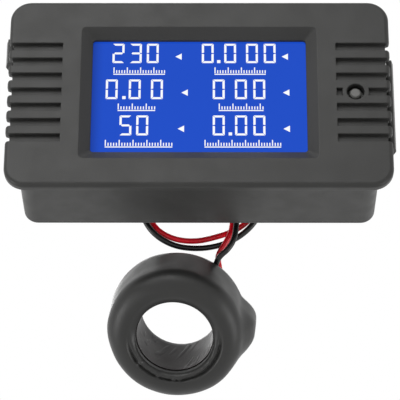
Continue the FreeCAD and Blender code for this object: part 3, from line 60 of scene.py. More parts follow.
# The leads' routes, from the terminals' ferrules into the ring's sleeve.
RED_ROUTE = (
    (0.00254, 0.01365, 0.0034),
    (0.00254, 0.01365, 0.0080),
    (0.0032, 0.0174, 0.0120),
    (0.0050, 0.0222, 0.0146),
    (0.0086, 0.0262, 0.0140),
    (0.0118, 0.0276, 0.0100),
    (0.0134, 0.0276, 0.0042),
    (0.0138, 0.0274, -0.0020),
    (0.0141, 0.0274, -0.0080),
    (0.0139, 0.0280, -0.0136),
    (0.0124, 0.0286, -0.0178),
    (0.0088, 0.0301, -0.0201),
    (0.0042, 0.0302, -0.0218),
    (-0.0009, 0.0304, -0.0230),
    (-0.0063, 0.0300, -0.0226),
    (-0.0109, 0.0293, -0.0200),
    (-0.0128, 0.0284, -0.0154),
    (-0.0126, 0.0276, -0.0104),
    (-0.0098, 0.0269, -0.0064),
    (-0.0050, 0.0264, -0.0044),
    (0.0002, 0.0262, -0.0046),
    (0.0046, 0.0262, -0.0072),
    (0.0072, 0.0264, -0.0116),
    (0.0081, 0.0268, -0.0168),
    (0.0079, 0.0277, -0.0209),
    (0.0068, 0.0283, -0.0234),
    (0.0055, 0.0290, -0.0253),
    (0.0044, 0.0299, -0.0270),
    (0.0046, 0.0309, -0.0288),
    (0.0049, 0.0314, -0.0302),
)
BLACK_ROUTE = (
    (0.00762, 0.01365, 0.0034),
    (0.00762, 0.01365, 0.0080),
    (0.0083, 0.0174, 0.0122),
    (0.0100, 0.0222, 0.0150),
    (0.0130, 0.0260, 0.0132),
    (0.0149, 0.0274, 0.0082),
    (0.0156, 0.0275, 0.0020),
    (0.0158, 0.0273, -0.0044),
    (0.0160, 0.0272, -0.0102),
    (0.0152, 0.0275, -0.0154),
    (0.0129, 0.0282, -0.0196),
    (0.0092, 0.0299, -0.0223),
    (0.0045, 0.0308, -0.0240),
    (-0.0009, 0.0309, -0.0247),
    (-0.0065, 0.0302, -0.0242),
    (-0.0115, 0.0284, -0.0216),
    (-0.0142, 0.0273, -0.0166),
    (-0.0147, 0.0263, -0.0106),
    (-0.0123, 0.0256, -0.0052),
    (-0.0072, 0.0252, -0.0018),
    (-0.0010, 0.0250, -0.0014),
    (0.0049, 0.0250, -0.0039),
    (0.0087, 0.0254, -0.0088),
    (0.0094, 0.0256, -0.0148),
    (0.0089, 0.0261, -0.0203),
    (0.0084, 0.0264, -0.0243),
    (0.0068, 0.0269, -0.0268),
    (0.0050, 0.0277, -0.0280),
    (0.0041, 0.0288, -0.0291),
    (0.0037, 0.0304, -0.0302),
)
LEAD_DIAMETER = 0.0014
LEAD_ROUNDNESS = 6
LEAD_STEPS = 10


def make_camera():
    """A camera where the photograph was taken from."""
    data = bpy.data.cameras.new("camera")
    data.sensor_width = SENSOR_WIDTH
    data.lens = CAMERA_LENS
    data.clip_start = CLIP_NEAR
    data.clip_end = CLIP_FAR
    camera = bpy.data.objects.new("camera", data)
    bpy.context.scene.collection.objects.link(camera)
    pitch, yaw = CAMERA_PITCH, CAMERA_YAW
    forward = Vector(
        (math.sin(yaw) * math.cos(pitch), math.cos(yaw) * math.cos(pitch), math.sin(pitch))
    )
    level = Vector((math.cos(yaw), -math.sin(yaw), 0))
    upright = level.cross(forward)
    right = math.cos(CAMERA_ROLL) * level + math.sin(CAMERA_ROLL) * upright
    up = right.cross(forward)
    turn = Matrix((right, up, -forward)).transposed()
    place = CAMERA_TARGET - forward * CAMERA_DISTANCE
    camera.matrix_world = Matrix.Translation(place) @ turn.to_4x4()
    bpy.context.scene.camera = camera


def make_lead(name, route, slot, finishes):
    """A lead as a smooth curve whose control points are its route."""
    data = bpy.data.curves.new(name, "CURVE")
    data.dimensions = "3D"
    data.bevel_depth = LEAD_DIAMETER / 2
    data.bevel_resolution = LEAD_ROUNDNESS
    data.resolution_u = LEAD_STEPS
    data.use_fill_caps = True
    spline = data.splines.new("NURBS")
    spline.points.add(len(route) - 1)
    for point, place in zip(spline.points, route):
        point.co = (*place, 1)
    spline.order_u = 3
    spline.use_endpoint_u = True
    data.materials.append(finishes[slot])
    lead = bpy.data.objects.new(name, data)
    bpy.context.scene.collection.objects.link(lead)
    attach(lead, "housing")
    return lead


# Textures. Scales are in cycles per metre and a grain's depth is in metres. Most
# values of a noise texture lie in NOISE_SPAN.
NOISE_SPAN = (0.35, 0.65)
FULL_SPAN = (0.0, 1.0)
GRAIN_DETAIL = 3.0
SHADE_DETAIL = 2.0
GLOSS_DETAIL = 4.0
PLAIN_DETAIL = 1.0
BEVEL_SAMPLES = 6
FINE_DEPTH = 0.00001
METAL_GRAIN = (5000, 0.000006)
CLEAR_GRAIN = (2500, 0.000002)
FLOOR_GRAIN = (300, 0.00005)

# How a finish drifts: the scale of its shade's patches and the factors for the
# darkest and lightest, then the scale of its gloss and what that takes off and
# adds to the roughness.
PLASTIC_DRIFT = (60, 0.94, 1.06, 220, -0.04, 0.05)
METAL_DRIFT = (900, 0.85, 1.1, 1500, -0.06, 0.1)
CLEAR_SCALE = 400
CLEAR_DULLER = 0.05
TRANSMISSION = 0.9

# The lit display: its roughness, the scale and factors of its uneven light, the
# glass's left edge, and how far in metres and how deeply painted shade from the
# window's sloped frame dims the light inward from there.
GLOW_ROUGHNESS = 0.12
GLOW_SCALE = 35
GLOW_RANGE = (0.96, 1.04)
DISPLAY_LEFT = -0.0252
SLOPE_SHADE_WIDTH = 0.003
SLOPE_SHADE_LEAST = 0.2

# The folds of the ring's lining: how they slant, how long they are for their
# width, which of the noise becomes a fold, and their height in metres.
FOLD_SLANT = Matrix.Rotation(math.radians(-20), 4, "Y")
FOLD_STRETCH = (1, 1, 14)
FOLD_SCALE = 700
FOLD_SPAN = (0.54, 0.66)
FOLD_HEIGHT = 0.00007

BLACK = (0, 0, 0, 1)
WHITE = (1, 1, 1, 1)

# Each plastic's sRGB colour and roughness, and what sets it apart.
PLASTICS = {
    "shell_plastic": ((55, 55, 54), 0.42, {"gloss": 0.4, "edge": 0.0003, "sheen": 0.5}),
    "key_plastic": ((104, 104, 102), 0.5, {"edge": 0.0001}),
    "diffuser": ((232, 236, 240), 0.4, {}),
    "white_plastic": ((228, 228, 222), 0.45, {}),
    "lamp": ((240, 236, 190), 0.3, {}),
    "board_laminate": ((34, 98, 58), 0.35, {"scale": 1800, "depth": FINE_DEPTH}),
    "switch_plastic": ((42, 42, 42), 0.4, {}),
    "terminal_plastic": ((36, 120, 66), 0.38, {}),
    "film_epoxy": ((205, 160, 50), 0.3, {"scale": 2200, "depth": FINE_DEPTH}),
    "can_sleeve": ((30, 32, 44), 0.25, {"scale": 2200, "depth": FINE_DEPTH}),
    "disc_epoxy": ((38, 84, 160), 0.3, {"scale": 2000, "depth": FINE_DEPTH}),
    "chip_epoxy": ((38, 38, 38), 0.6, {}),
    "resistor_coat": ((150, 188, 194), 0.4, {}),
    "ring_rubber": (
        (40, 40, 39), 0.42, {"scale": 2600, "depth": FINE_DEPTH, "gloss": 0.55, "sheen": 0.65}
    ),
    "red_insulation": ((255, 16, 40), 0.28, {"scale": 1500, "depth": FINE_DEPTH, "gloss": 0.4}),
    "black_insulation": ((18, 18, 18), 0.26, {"scale": 1500, "depth": FINE_DEPTH, "gloss": 0.4}),
}

# Each metal's sRGB colour and roughness.
METALS = {
    "tinned_pin": ((200, 200, 198), 0.3),
    "zinc_screw": ((188, 188, 190), 0.28),
    "clamp_steel": ((176, 176, 180), 0.3),
    "contact_brass": ((205, 175, 110), 0.3),
    "crystal_can": ((196, 196, 196), 0.25),
    "winding_copper": ((190, 120, 70), 0.35),
    "core_alloy": ((92, 92, 94), 0.5),
}


def linear(red, green, blue):
    """An sRGB colour in 0 to 255 as Blender's linear colour."""
    values = []
    for part in (red, green, blue):
        part = part / 255
        values.append(part / 12.92 if part <= 0.04045 else ((part + 0.055) / 1.055) ** 2.4)
    return (*values, 1)


def shade(colour, factor):
    return (*(part * factor for part in colour[:3]), 1)


def new_material(name):
    material = bpy.data.materials.new(name)
    material.use_nodes = True
    shader = material.node_tree.nodes["Principled BSDF"]
    return material, material.node_tree, shader


def add_node(tree, kind, **inputs):
    """A shader node with some of its inputs set."""
    node = tree.nodes.new(kind)
    for socket, value in inputs.items():
        node.inputs[socket.replace("_", " ")].default_value = value
    return node


def own_place(tree):
    """Places in the object's own coordinates."""
    return add_node(tree, "ShaderNodeTexCoord").outputs["Object"]


def clouds(tree, place, scale, detail):
    """A noise texture's values."""
    texture = add_node(tree, "ShaderNodeTexNoise", Scale=scale, Detail=detail)
    tree.links.new(place, texture.inputs["Vector"])
    return texture.outputs["Fac"]


def ramp(tree, value, span, dark, light):
    """A colour that goes from dark to light while a value crosses a span."""
    node = add_node(tree, "ShaderNodeValToRGB")
    for element, position, colour in zip(node.color_ramp.elements, span, (dark, light)):
        element.position = position
        element.color = colour
    tree.links.new(value, node.inputs["Fac"])
    return node.outputs["Color"]


def spread(tree, value, span, low, high, kind="LINEAR"):
    """A value that goes from low to high while another crosses a span."""
    start, end = span
    node = add_node(
        tree, "ShaderNodeMapRange", From_Min=start, From_Max=end, To_Min=low, To_Max=high
    )
    node.interpolation_type = kind
    tree.links.new(value, node.inputs["Value"])
    return node.outputs["Result"]


def maths(tree, operation, first, second, clamped=False):
    """The result of a math node, from an output and either another or a number."""
    node = add_node(tree, "ShaderNodeMath")
    node.operation = operation
    node.use_clamp = clamped
    tree.links.new(first, node.inputs[0])
    if isinstance(second, float):
        node.inputs[1].default_value = second
    else:
        tree.links.new(second, node.inputs[1])
    return node.outputs["Value"]


def grain(tree, shader, scale, depth):
    """A fine bump all over, in the object's own coordinates."""
    place = own_place(tree)
    bump = add_node(tree, "ShaderNodeBump", Strength=1.0, Distance=depth)
    tree.links.new(clouds(tree, place, scale, GRAIN_DETAIL), bump.inputs["Height"])
    tree.links.new(bump.outputs["Normal"], shader.inputs["Normal"])
    return place, bump


def mottle(tree, shader, place, scale, dark, light):
    """The base colour drifts slowly between two near shades."""
    colour = ramp(tree, clouds(tree, place, scale, SHADE_DETAIL), NOISE_SPAN, dark, light)
    tree.links.new(colour, shader.inputs["Base Color"])


def scuff(tree, shader, place, scale, low, high):
    """The gloss drifts between two roughnesses."""
    roughness = spread(tree, clouds(tree, place, scale, GLOSS_DETAIL), NOISE_SPAN, low, high)
    tree.links.new(roughness, shader.inputs["Roughness"])


def wear(tree, shader, place, colour, roughness, drift):
    """Shade and gloss that are a little uneven."""
    shade_scale, darker, lighter, gloss_scale, glossier, duller = drift
    mottle(tree, shader, place, shade_scale, shade(colour, darker), shade(colour, lighter))
    scuff(tree, shader, place, gloss_scale, roughness + glossier, roughness + duller)


def soften_edges(tree, bump, radius):
    """Moulded edges that catch the light as if they were rounded."""
    bevel = add_node(tree, "ShaderNodeBevel", Radius=radius)
    bevel.samples = BEVEL_SAMPLES
    tree.links.new(bevel.outputs["Normal"], bump.inputs["Normal"])


def plastic(name, colour, roughness, scale=3500, depth=0.00002, gloss=0.35, edge=0, sheen=1.0):
    """A moulded plastic with a fine etched grain and slightly uneven gloss."""
    material, tree, shader = new_material(name)
    shader.inputs["Specular IOR Level"].default_value = gloss
    shader.inputs["Specular Tint"].default_value = (sheen, sheen, sheen, 1)
    place, bump = grain(tree, shader, scale, depth)
    if edge:
        soften_edges(tree, bump, edge)
    wear(tree, shader, place, colour, roughness, PLASTIC_DRIFT)
    return material


def folded(name, colour, roughness):
    """A thin sleeve with fine folds that run slantwise along the bore."""
    material = plastic(
        name, colour, roughness, scale=2600, depth=FINE_DEPTH, gloss=0.4, sheen=0.25
    )
    tree = material.node_tree
    grain_bump = tree.nodes["Bump"]
    along = add_node(
        tree,
        "ShaderNodeMapping",
        Location=RING_CENTRE,
        Rotation=(ring_frame() @ FOLD_SLANT).to_euler(),
        Scale=FOLD_STRETCH,
    )
    along.vector_type = "TEXTURE"
    tree.links.new(own_place(tree), along.inputs["Vector"])
    streaks = clouds(tree, along.outputs["Vector"], FOLD_SCALE, PLAIN_DETAIL)
    bump = add_node(tree, "ShaderNodeBump", Strength=1.0, Distance=FOLD_HEIGHT)
    tree.links.new(ramp(tree, streaks, FOLD_SPAN, BLACK, WHITE), bump.inputs["Height"])
    tree.links.new(bump.outputs["Normal"], grain_bump.inputs["Normal"])
    return material


def metal(name, colour, roughness):
    """A plated metal with fine drawing lines."""
    material, tree, shader = new_material(name)
    shader.inputs["Metallic"].default_value = 1.0
    place, _ = grain(tree, shader, *METAL_GRAIN)
    wear(tree, shader, place, colour, roughness, METAL_DRIFT)
    return material


def clear(name, tint, roughness):
    """Clear glass or acrylic."""
    material, tree, shader = new_material(name)
    shader.inputs["Base Color"].default_value = tint
    shader.inputs["Transmission Weight"].default_value = TRANSMISSION
    place, _ = grain(tree, shader, *CLEAR_GRAIN)
    scuff(tree, shader, place, CLEAR_SCALE, roughness, roughness + CLEAR_DULLER)
    return material


def glowing(name, colour, gloss):
    """A backlit surface whose light varies a little from place to place."""
    material, tree, shader = new_material(name)
    shader.inputs["Base Color"].default_value = BLACK
    shader.inputs["Specular IOR Level"].default_value = gloss
    shader.inputs["Roughness"].default_value = GLOW_ROUGHNESS
    shader.inputs["Emission Strength"].default_value = 1.0
    uneven = clouds(tree, own_place(tree), GLOW_SCALE, PLAIN_DETAIL)
    dark, light = (shade(colour, factor) for factor in GLOW_RANGE)
    tree.links.new(ramp(tree, uneven, FULL_SPAN, dark, light), shader.inputs["Emission Color"])
    return material


def backlit(name, colour, gloss):
    """The display's glass: lit at the front only, with painted shade near its left edge."""
    material = glowing(name, colour, gloss)
    tree = material.node_tree
    shader = tree.nodes["Principled BSDF"]
    coordinates = add_node(tree, "ShaderNodeTexCoord")
    place = add_node(tree, "ShaderNodeSeparateXYZ")
    facing = add_node(tree, "ShaderNodeSeparateXYZ")
    tree.links.new(coordinates.outputs["Object"], place.inputs["Vector"])
    tree.links.new(coordinates.outputs["Normal"], facing.inputs["Vector"])
    # Painted shade of the window's sloped frame: the light dims close to the glass's left edge.
    edge = (DISPLAY_LEFT - SLOPE_SHADE_WIDTH, DISPLAY_LEFT + SLOPE_SHADE_WIDTH)
    painted_shade = spread(tree, place.outputs["X"], edge, SLOPE_SHADE_LEAST, 1.0, "SMOOTHSTEP")
    front = maths(tree, "MULTIPLY", facing.outputs["Y"], -1.0, clamped=True)
    strength = maths(tree, "MULTIPLY", front, painted_shade)
    tree.links.new(strength, shader.inputs["Emission Strength"])
    return material


def make_materials():
    """Every finish, by the name of its slot."""
    finishes = {
        "display_glass": backlit("display_glass", linear(26, 76, 198), gloss=0.02),
        "display_mark": glowing("display_mark", linear(250, 252, 255), gloss=0.05),
        "clear_glass": clear("clear_glass", (0.8, 0.86, 0.86, 1), roughness=0.03),
        "guide_acrylic": clear("guide_acrylic", (0.85, 0.9, 0.95, 1), roughness=0.1),
        "liner_plastic": folded("liner_plastic", linear(26, 20, 20), roughness=0.45),
    }
    for name, (colour, roughness, options) in PLASTICS.items():
        finishes[name] = plastic(name, linear(*colour), roughness, **options)
    for name, (colour, roughness) in METALS.items():
        finishes[name] = metal(name, linear(*colour), roughness)
    return finishes


def dress_nodes(finishes):
    """Give each CAD node the finish of its material slot in the record."""
    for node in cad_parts.values():
        for place in node.material_slots:
            slot = place.material.name.split(".")[0]
            if slot in finishes:
                place.material = finishes[slot]


# The display's figures are thin plates just in front of the glass.
GLASS_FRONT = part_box("display_front_glass")[0].y
MARK_LIFT = 0.01 * MM
MARK_THICK = 0.015 * MM
DIGIT_W = 2.8 * MM
DIGIT_HT = 5.3 * MM
STROKE = 0.52 * MM
SEGMENT_GAP = 0.10 * MM
UPRIGHT_LIFT = STROKE / 2 * 0.4
POINT_SIZE = 0.8 * MM

# The bar scales: bars over a base line, of which some are tall.
BAR_W = STROKE / 2
BAR_PITCH = 0.62 * MM
BAR_HT = 2.0 * MM
SHORT_BAR_HT = BAR_HT * 0.62
BAR_FOOT = STROKE * 0.8
TALL_EVERY = 5
BAR_DROP = 4.85

POINTER_HALF = 0.85 * MM
POINTER_LONG = 1.5 * MM
POINTER_DROP = 0.9 * MM

# The readouts, in millimetres from the middle of the face. Each has its number,
# the left edge of each digit, the left edge of its point or None, the middle
# height, the span of the bar scale under it and the place of its pointer.
ROW_TOP, ROW_MIDDLE, ROW_LOW = 11.9, 2.1, -7.6
READOUTS = (
    ("230", (-20.5, -16.4, -12.4), None, ROW_TOP, (-20.2, -8.3), -4.9),
    ("0000", (0.6, 5.9, 11.05, 15.25), 4.2, ROW_TOP, (3.6, 15.4), 20.2),
    ("000", (-21.9, -16.5, -11.3), -18.0, ROW_MIDDLE, (-19.0, -10.5), -3.4),
    ("000", (3.2, 8.4, 12.7), None, ROW_MIDDLE, (4.6, 14.8), 20.4),
    ("50", (-18.5, -14.6), None, ROW_LOW, (-21.8, -6.4), -4.2),
    ("000", (3.2, 8.4, 12.65), 6.9, ROW_LOW, (1.3, 18.8), 20.4),
)
# Which of the seven segments each figure lights. From a to g they are the top,
# upper right, lower right, bottom, lower left, upper left and middle.
SEGMENTS = {
    "0": "abcdef",
    "2": "abged",
    "3": "abgcd",
    "5": "afgcd",
}


def segment_outlines():
    """The seven segments of a digit, each with bevelled ends, about its middle."""
    w, ht, s = DIGIT_W / 2, DIGIT_HT / 2, STROKE
    g = SEGMENT_GAP
    half = s / 2

    def flat(z, inward):
        low, high = sorted((z, z + inward * s))
        outer, inner = -w + g, -w + s + g
        if inward > 0:
            return [(inner, high), (outer, low), (-outer, low), (-inner, high)]
        return [(outer, high), (inner, low), (-inner, low), (-outer, high)]

    def upper(side):
        x0, x1 = side * w, side * (w - s)
        return [(x0, UPRIGHT_LIFT), (x0, ht - g), (x1, ht - s), (x1, UPRIGHT_LIFT + g)]

    def lower(side):
        return [(x, -z) for x, z in upper(side)]

    return {
        "a": flat(ht, -1),
        "b": upper(1),
        "c": lower(1),
        "d": flat(-ht, 1),
        "e": lower(-1),
        "f": upper(-1),
        "g": [
            (-w + half + g, 0), (-w + s + g, half), (w - s - g, half),
            (w - half - g, 0), (w - s - g, -half), (-w + s + g, -half),
        ],
    }


def add_plate(mesh, outline):
    """A thin plate on the glass, from an outline across and up."""
    front = GLASS_FRONT - MARK_LIFT - MARK_THICK
    rear = GLASS_FRONT - MARK_LIFT
    near = [mesh.verts.new((x, front, z)) for x, z in outline]
    far = [mesh.verts.new((x, rear, z)) for x, z in outline]
    mesh.faces.new(near)
    mesh.faces.new(list(reversed(far)))
    for i in range(len(outline)):
        j = (i + 1) % len(outline)
        mesh.faces.new((near[j], near[i], far[i], far[j]))


def rectangle(x0, x1, z0, z1):
    return [(x0, z0), (x1, z0), (x1, z1), (x0, z1)]


def finish_mesh(name, mesh, material, smooth=False):
    """Turn a bmesh into a named piece that rides on the housing."""
    bmesh.ops.recalc_face_normals(mesh, faces=mesh.faces)
    data = bpy.data.meshes.new(name)
    mesh.to_mesh(data)
    mesh.free()
    data.materials.append(material)
    for face in data.polygons:
        face.use_smooth = smooth
    piece = bpy.data.objects.new(name, data)
    bpy.context.scene.collection.objects.link(piece)
    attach(piece, "housing")
    return piece


def make_display_marks(material):
    """Plain numbers, a bar scale under each, and a pointer beside each."""
    outlines = segment_outlines()
    digits, scales, pointers = bmesh.new(), bmesh.new(), bmesh.new()
    for number, cells, point, row, span, marker in READOUTS:
        middle = row * MM
        for figure, left in zip(number, cells):
            centre = left * MM + DIGIT_W / 2
            for segment in SEGMENTS[figure]:
                shape = [(centre + x, middle + z) for x, z in outlines[segment]]
                add_plate(digits, shape)
        low = middle - DIGIT_HT / 2
        if point is not None:
            x = point * MM
            add_plate(digits, rectangle(x, x + POINT_SIZE, low, low + POINT_SIZE))
        add_scale(scales, span, (row - BAR_DROP) * MM)
        add_pointer(pointers, marker * MM, middle - POINTER_DROP)
    finish_mesh("display_digits", digits, material)
    finish_mesh("display_scales", scales, material)
    finish_mesh("display_pointers", pointers, material)


def add_scale(mesh, span, middle):
    """A row of upright bars over a base line."""
    start, end = span[0] * MM, span[1] * MM
    count = int((end - start) / BAR_PITCH)
    pitch = (end - start) / count
    low = middle - BAR_HT / 2
    add_plate(mesh, rectangle(start, end + BAR_W, low, low + BAR_W))
    for i in range(count + 1):
        height = BAR_HT if i % TALL_EVERY == 0 else SHORT_BAR_HT
        x = start + i * pitch
        add_plate(mesh, rectangle(x, x + BAR_W, low + BAR_FOOT, low + height))


def add_pointer(mesh, x, z):
    """A small arrowhead that points at its number."""
    tip, base = x - POINTER_LONG / 2, x + POINTER_LONG / 2
    add_plate(mesh, [(tip, z), (base, z + POINTER_HALF), (base, z - POINTER_HALF)])


# The transformer ring's centre and bore axis, as in the solids.
RING_CENTRE = Vector((-0.00535, 0.0366, -0.0419))
RING_DIP = math.radians(51.1)
RING_TURN = math.radians(-6.8)

# The sleeve's section, in millimetres: distance from the bore's axis, and height
# above the ring's middle plane. A bead stands round the bore, then the face
# swells a little and rolls over into the outer wall. HOLLOW is the inner side.
LIP_RADIUS = 9.3
LIP_HEIGHTS = (6.25, 6.6)
BEAD_MIDDLE = (10.1, 7.05)
BEAD_RADIUS = 0.8
BEAD_ARC = (180, 30)
CREASE = (11.0, 7.15)
ROLL_MIDDLE = (11.9, 3.9)
ROLL_RADIUS = 4.4
ROLL_ARC = (90, 0)
FACE_TOP = ROLL_MIDDLE[1] + ROLL_RADIUS
WALL_RADIUS = ROLL_MIDDLE[0] + ROLL_RADIUS
WALL_HEIGHTS = (2.6, 1.3)
HOLLOW = ((13.9, -6.25), (15.05, -5.14), (15.05, 5.14), (13.9, 6.25))
BEAD_STEPS = 10
FACE_STEPS = 8
ROLL_STEPS = 14
SLEEVE_STEPS = 360

# Where the sleeve's features fade in: the first two as a share of the way from the
# ring's top to its bottom, or the other way up for the top, and the others by
# the distance from the axis, in millimetres.
BEADED_FROM, BEADED_TO = 0.35, 0.75
OVAL_LOW, OVAL_TOP = 0.7, 0.6
SWELL_FROM, SWELL_TO = 11.0, 12.5
LIP_CLEAR = 0.01
FLAT_TO, FLAT_END = ROLL_MIDDLE[0] - 0.4, ROLL_MIDDLE[0] + 1
WALL_FROM, WALL_TO = 12.6, 16.0

# How far they stand out, in millimetres, and the noise's cycles per millimetre.
# Where there is no bead, the face rounds straight down to the bore's edge. The
# ring is a little oval, by what its wall stands out at the top and the bottom.
BORE_EDGE = 7.0
BEAD_WIDTH = 0.9
BEAD_RISE = 0.6
BEAD_UNEVEN, BEAD_NOISE = 0.2, 1.1
FACE_UNEVEN, FACE_NOISE = 0.1, 0.2
WALL_UNEVEN, WALL_NOISE = 0.14, 0.16
FACE_NOISE_SHIFT = Vector((7, 0, 0))
OVAL = 0.35

# The knots in the bead and the lump over the splices. Angles are about the bore,
# in degrees from the right.
KNOT_ANGLES = (213, 243, 264, 271)
KNOT_RADIUS = 10.8
KNOT_WIDTH = 0.45
KNOT_HEIGHT = 0.5
LUMP_ANGLES = (-44.0, -12.0, -4.0, 17.0)
LUMP_HEIGHT = 2.45
LUMP_FRONT = (0.0, 5.5)
LUMP_REAR = (5.5, 8.3)

# The leads' collar: where it stands on the rear roll, and its sections, each with
# its lift, length and width in millimetres.
ENTRY_ANGLE = math.radians(48.3)
ENTRY_SLOPE = math.radians(-33.0)
COLLAR_SIDES = 32
COLLAR_SECTIONS = (
    (-1.4, 2.5, 1.9),
    (-0.5, 2.3, 1.7),
    (-0.1, 1.9, 1.35),
    (0.1, 1.5, 1.0),
    (0.18, 1.1, 0.7),
)


def ring_frame():
    """Matrix from the ring's own frame, whose Z is the bore axis, to the part's."""
    turn = Matrix.Rotation(RING_TURN, 4, "Z")
    dip = Matrix.Rotation(math.pi / 2 + RING_DIP, 4, "X")
    return Matrix.Translation(RING_CENTRE) @ turn @ dip


def ease(value, low, high):
    """A smooth step from 0 at low to 1 at high."""
    share = min(max((value - low) / (high - low), 0), 1)
    return share * share * (3 - 2 * share)


def arc(middle, radius, first, last, count):
    """Points of an arc, between two directions in degrees."""
    points = []
    for i in range(count + 1):
        angle = math.radians(first + (last - first) * i / count)
        points.append((middle[0] + radius * math.cos(angle), middle[1] + radius * math.sin(angle)))
    return points


def sleeve_outline():
    """The outer side of the section, from the lip at the front to that at the rear."""
    front = [(LIP_RADIUS, height) for height in LIP_HEIGHTS]
    front += arc(BEAD_MIDDLE, BEAD_RADIUS, *BEAD_ARC, BEAD_STEPS)
    for i in range(FACE_STEPS):
        share = i / FACE_STEPS
        radius = CREASE[0] + (ROLL_MIDDLE[0] - CREASE[0]) * share
        front.append((radius, CREASE[1] + (FACE_TOP - CREASE[1]) * math.sin(share * math.pi / 2)))
    front += arc(ROLL_MIDDLE, ROLL_RADIUS, *ROLL_ARC, ROLL_STEPS)
    front += [(WALL_RADIUS, z) for z in WALL_HEIGHTS]
    rear = [(radius, -z) for radius, z in reversed(front)]
    return front + [(WALL_RADIUS, 0)] + rear


def lump_share(angle):
    """How much of the splice lump stands at an angle, in degrees from the right."""
    start, full, end, past = LUMP_ANGLES
    return ease(angle, start, full) * (1 - ease(angle, end, past))


def bead_rise(radius, height, place, lower):
    """How far the face near the bore rises for the bead, or sinks to leave none."""
    beaded = ease(lower, BEADED_FROM, BEADED_TO)
    share = min((radius - LIP_RADIUS) / (ROLL_MIDDLE[0] - LIP_RADIUS), 1)
    plain = BORE_EDGE + (FACE_TOP - BORE_EDGE) * math.sin(share * math.pi / 2)
    flat = 1 - ease(radius, FLAT_TO, FLAT_END)
    near = math.exp(-(((radius - BEAD_MIDDLE[0]) / BEAD_WIDTH) ** 2))
    rise = (plain - abs(height)) * (1 - beaded) * flat
    rise += BEAD_RISE * near * beaded
    return rise + BEAD_UNEVEN * noise.noise(place * BEAD_NOISE) * near * beaded


def knot_rise(degrees, radius):
    """How far the knots stand out."""
    rise = 0
    for knot in KNOT_ANGLES:
        along = math.radians(degrees - knot) * radius
        away = (along / KNOT_WIDTH) ** 2 + ((radius - KNOT_RADIUS) / KNOT_WIDTH) ** 2
        rise += KNOT_HEIGHT * math.exp(-away)
    return rise


def sleeve_point(angle, radius, height):
    """A point of the outer side, moved for the lump, bead, knots and waviness."""
    degrees = math.degrees(angle)
    lower = (1 - math.sin(angle)) / 2
    place = Vector((radius * math.cos(angle), radius * math.sin(angle), height))
    side = 1 if height > 0 else -1

    uneven = FACE_UNEVEN * noise.noise(place * FACE_NOISE + FACE_NOISE_SHIFT)
    rise = uneven * ease(radius, SWELL_FROM, SWELL_TO)
    if LIP_RADIUS + LIP_CLEAR < radius < FLAT_END:
        rise += bead_rise(radius, height, place, lower)
    if side > 0:
        rise += knot_rise(degrees, radius)

    out = ease(radius, WALL_FROM, WALL_TO)
    wall = out * (1 - ease(height, *LUMP_FRONT)) * (1 - ease(-height, *LUMP_REAR))
    radius += LUMP_HEIGHT * lump_share((degrees + 180) % 360 - 180) * wall
    oval = OVAL * ease(lower, OVAL_LOW, 1.0) + OVAL * ease(1 - lower, OVAL_TOP, 1.0)
    radius += (WALL_UNEVEN * noise.noise(place * WALL_NOISE) + oval) * out
    height += side * rise
    return Vector((radius * math.cos(angle), radius * math.sin(angle), height))


def make_sleeve(material):
    """The rubber sleeve: a bead, a swelling face, a lump over the splices."""
    mesh = bmesh.new()
    to_part = ring_frame()
    outline = sleeve_outline()
    rings = []
    for i in range(SLEEVE_STEPS):
        angle = 2 * math.pi * i / SLEEVE_STEPS
        points = [sleeve_point(angle, radius, height) for radius, height in outline]
        turned = Matrix.Rotation(angle, 4, "Z")
        points += [turned @ Vector((radius, 0, height)) for radius, height in HOLLOW]
        rings.append([mesh.verts.new(to_part @ (point * MM)) for point in points])
    for ring, following in zip(rings, rings[1:] + rings[:1]):
        for j in range(len(ring)):
            k = (j + 1) % len(ring)
            mesh.faces.new((ring[j], following[j], following[k], ring[k]))
    sleeve = finish_mesh("ring_sleeve", mesh, material, smooth=True)
    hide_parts("ct_sleeve")


def make_grommet(material):
    """A low tapered collar where both leads go into the sleeve."""
    angle, slope = ENTRY_ANGLE, ENTRY_SLOPE
    outward = Vector(
        (math.cos(slope) * math.cos(angle), math.cos(slope) * math.sin(angle), math.sin(slope))
    )
    across = ROLL_MIDDLE[0] + ROLL_RADIUS * math.cos(slope)
    height = -ROLL_MIDDLE[1] + ROLL_RADIUS * math.sin(slope)
    foot = Vector((across * math.cos(angle), across * math.sin(angle), height)) * MM
    to_part = ring_frame()
    axis = (to_part.to_3x3() @ outward).normalized()
    pair = Vector(RED_ROUTE[-1]) - Vector(BLACK_ROUTE[-1])
    side = (pair - axis * pair.dot(axis)).normalized()
    other = axis.cross(side)
    foot = to_part @ foot
    mesh = bmesh.new()
    rings = []
    for lift, long, wide in COLLAR_SECTIONS:
        ring = []
        for i in range(COLLAR_SIDES):
            turn = 2 * math.pi * i / COLLAR_SIDES
            reach = side * (long * math.cos(turn)) + other * (wide * math.sin(turn))
            ring.append(mesh.verts.new(foot + (axis * lift + reach) * MM))
        rings.append(ring)
    for ring, following in zip(rings, rings[1:]):
        for i in range(COLLAR_SIDES):
            k = (i + 1) % COLLAR_SIDES
            mesh.faces.new((ring[i], ring[k], following[k], following[i]))
    mesh.faces.new(rings[-1])
    mesh.faces.new(list(reversed(rings[0])))
    grommet = finish_mesh("lead_grommet", mesh, material, smooth=True)
    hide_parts("ct_lead_boot")


# The world's fill light, and the floor's size, height, roughness, patches and
# the light it gives back to the camera.
FILL_LEVEL = 0.22
FLOOR_Z = -0.45
FLOOR_REACH = 12
FLOOR_CELLS = 8
FLOOR_ROUGHNESS = 0.9
FLOOR_SCALE = 4
FLOOR_SHADES = ((0.86, 0.86, 0.86, 1), (0.9, 0.9, 0.9, 1))
FLOOR_LIFT = 0.45

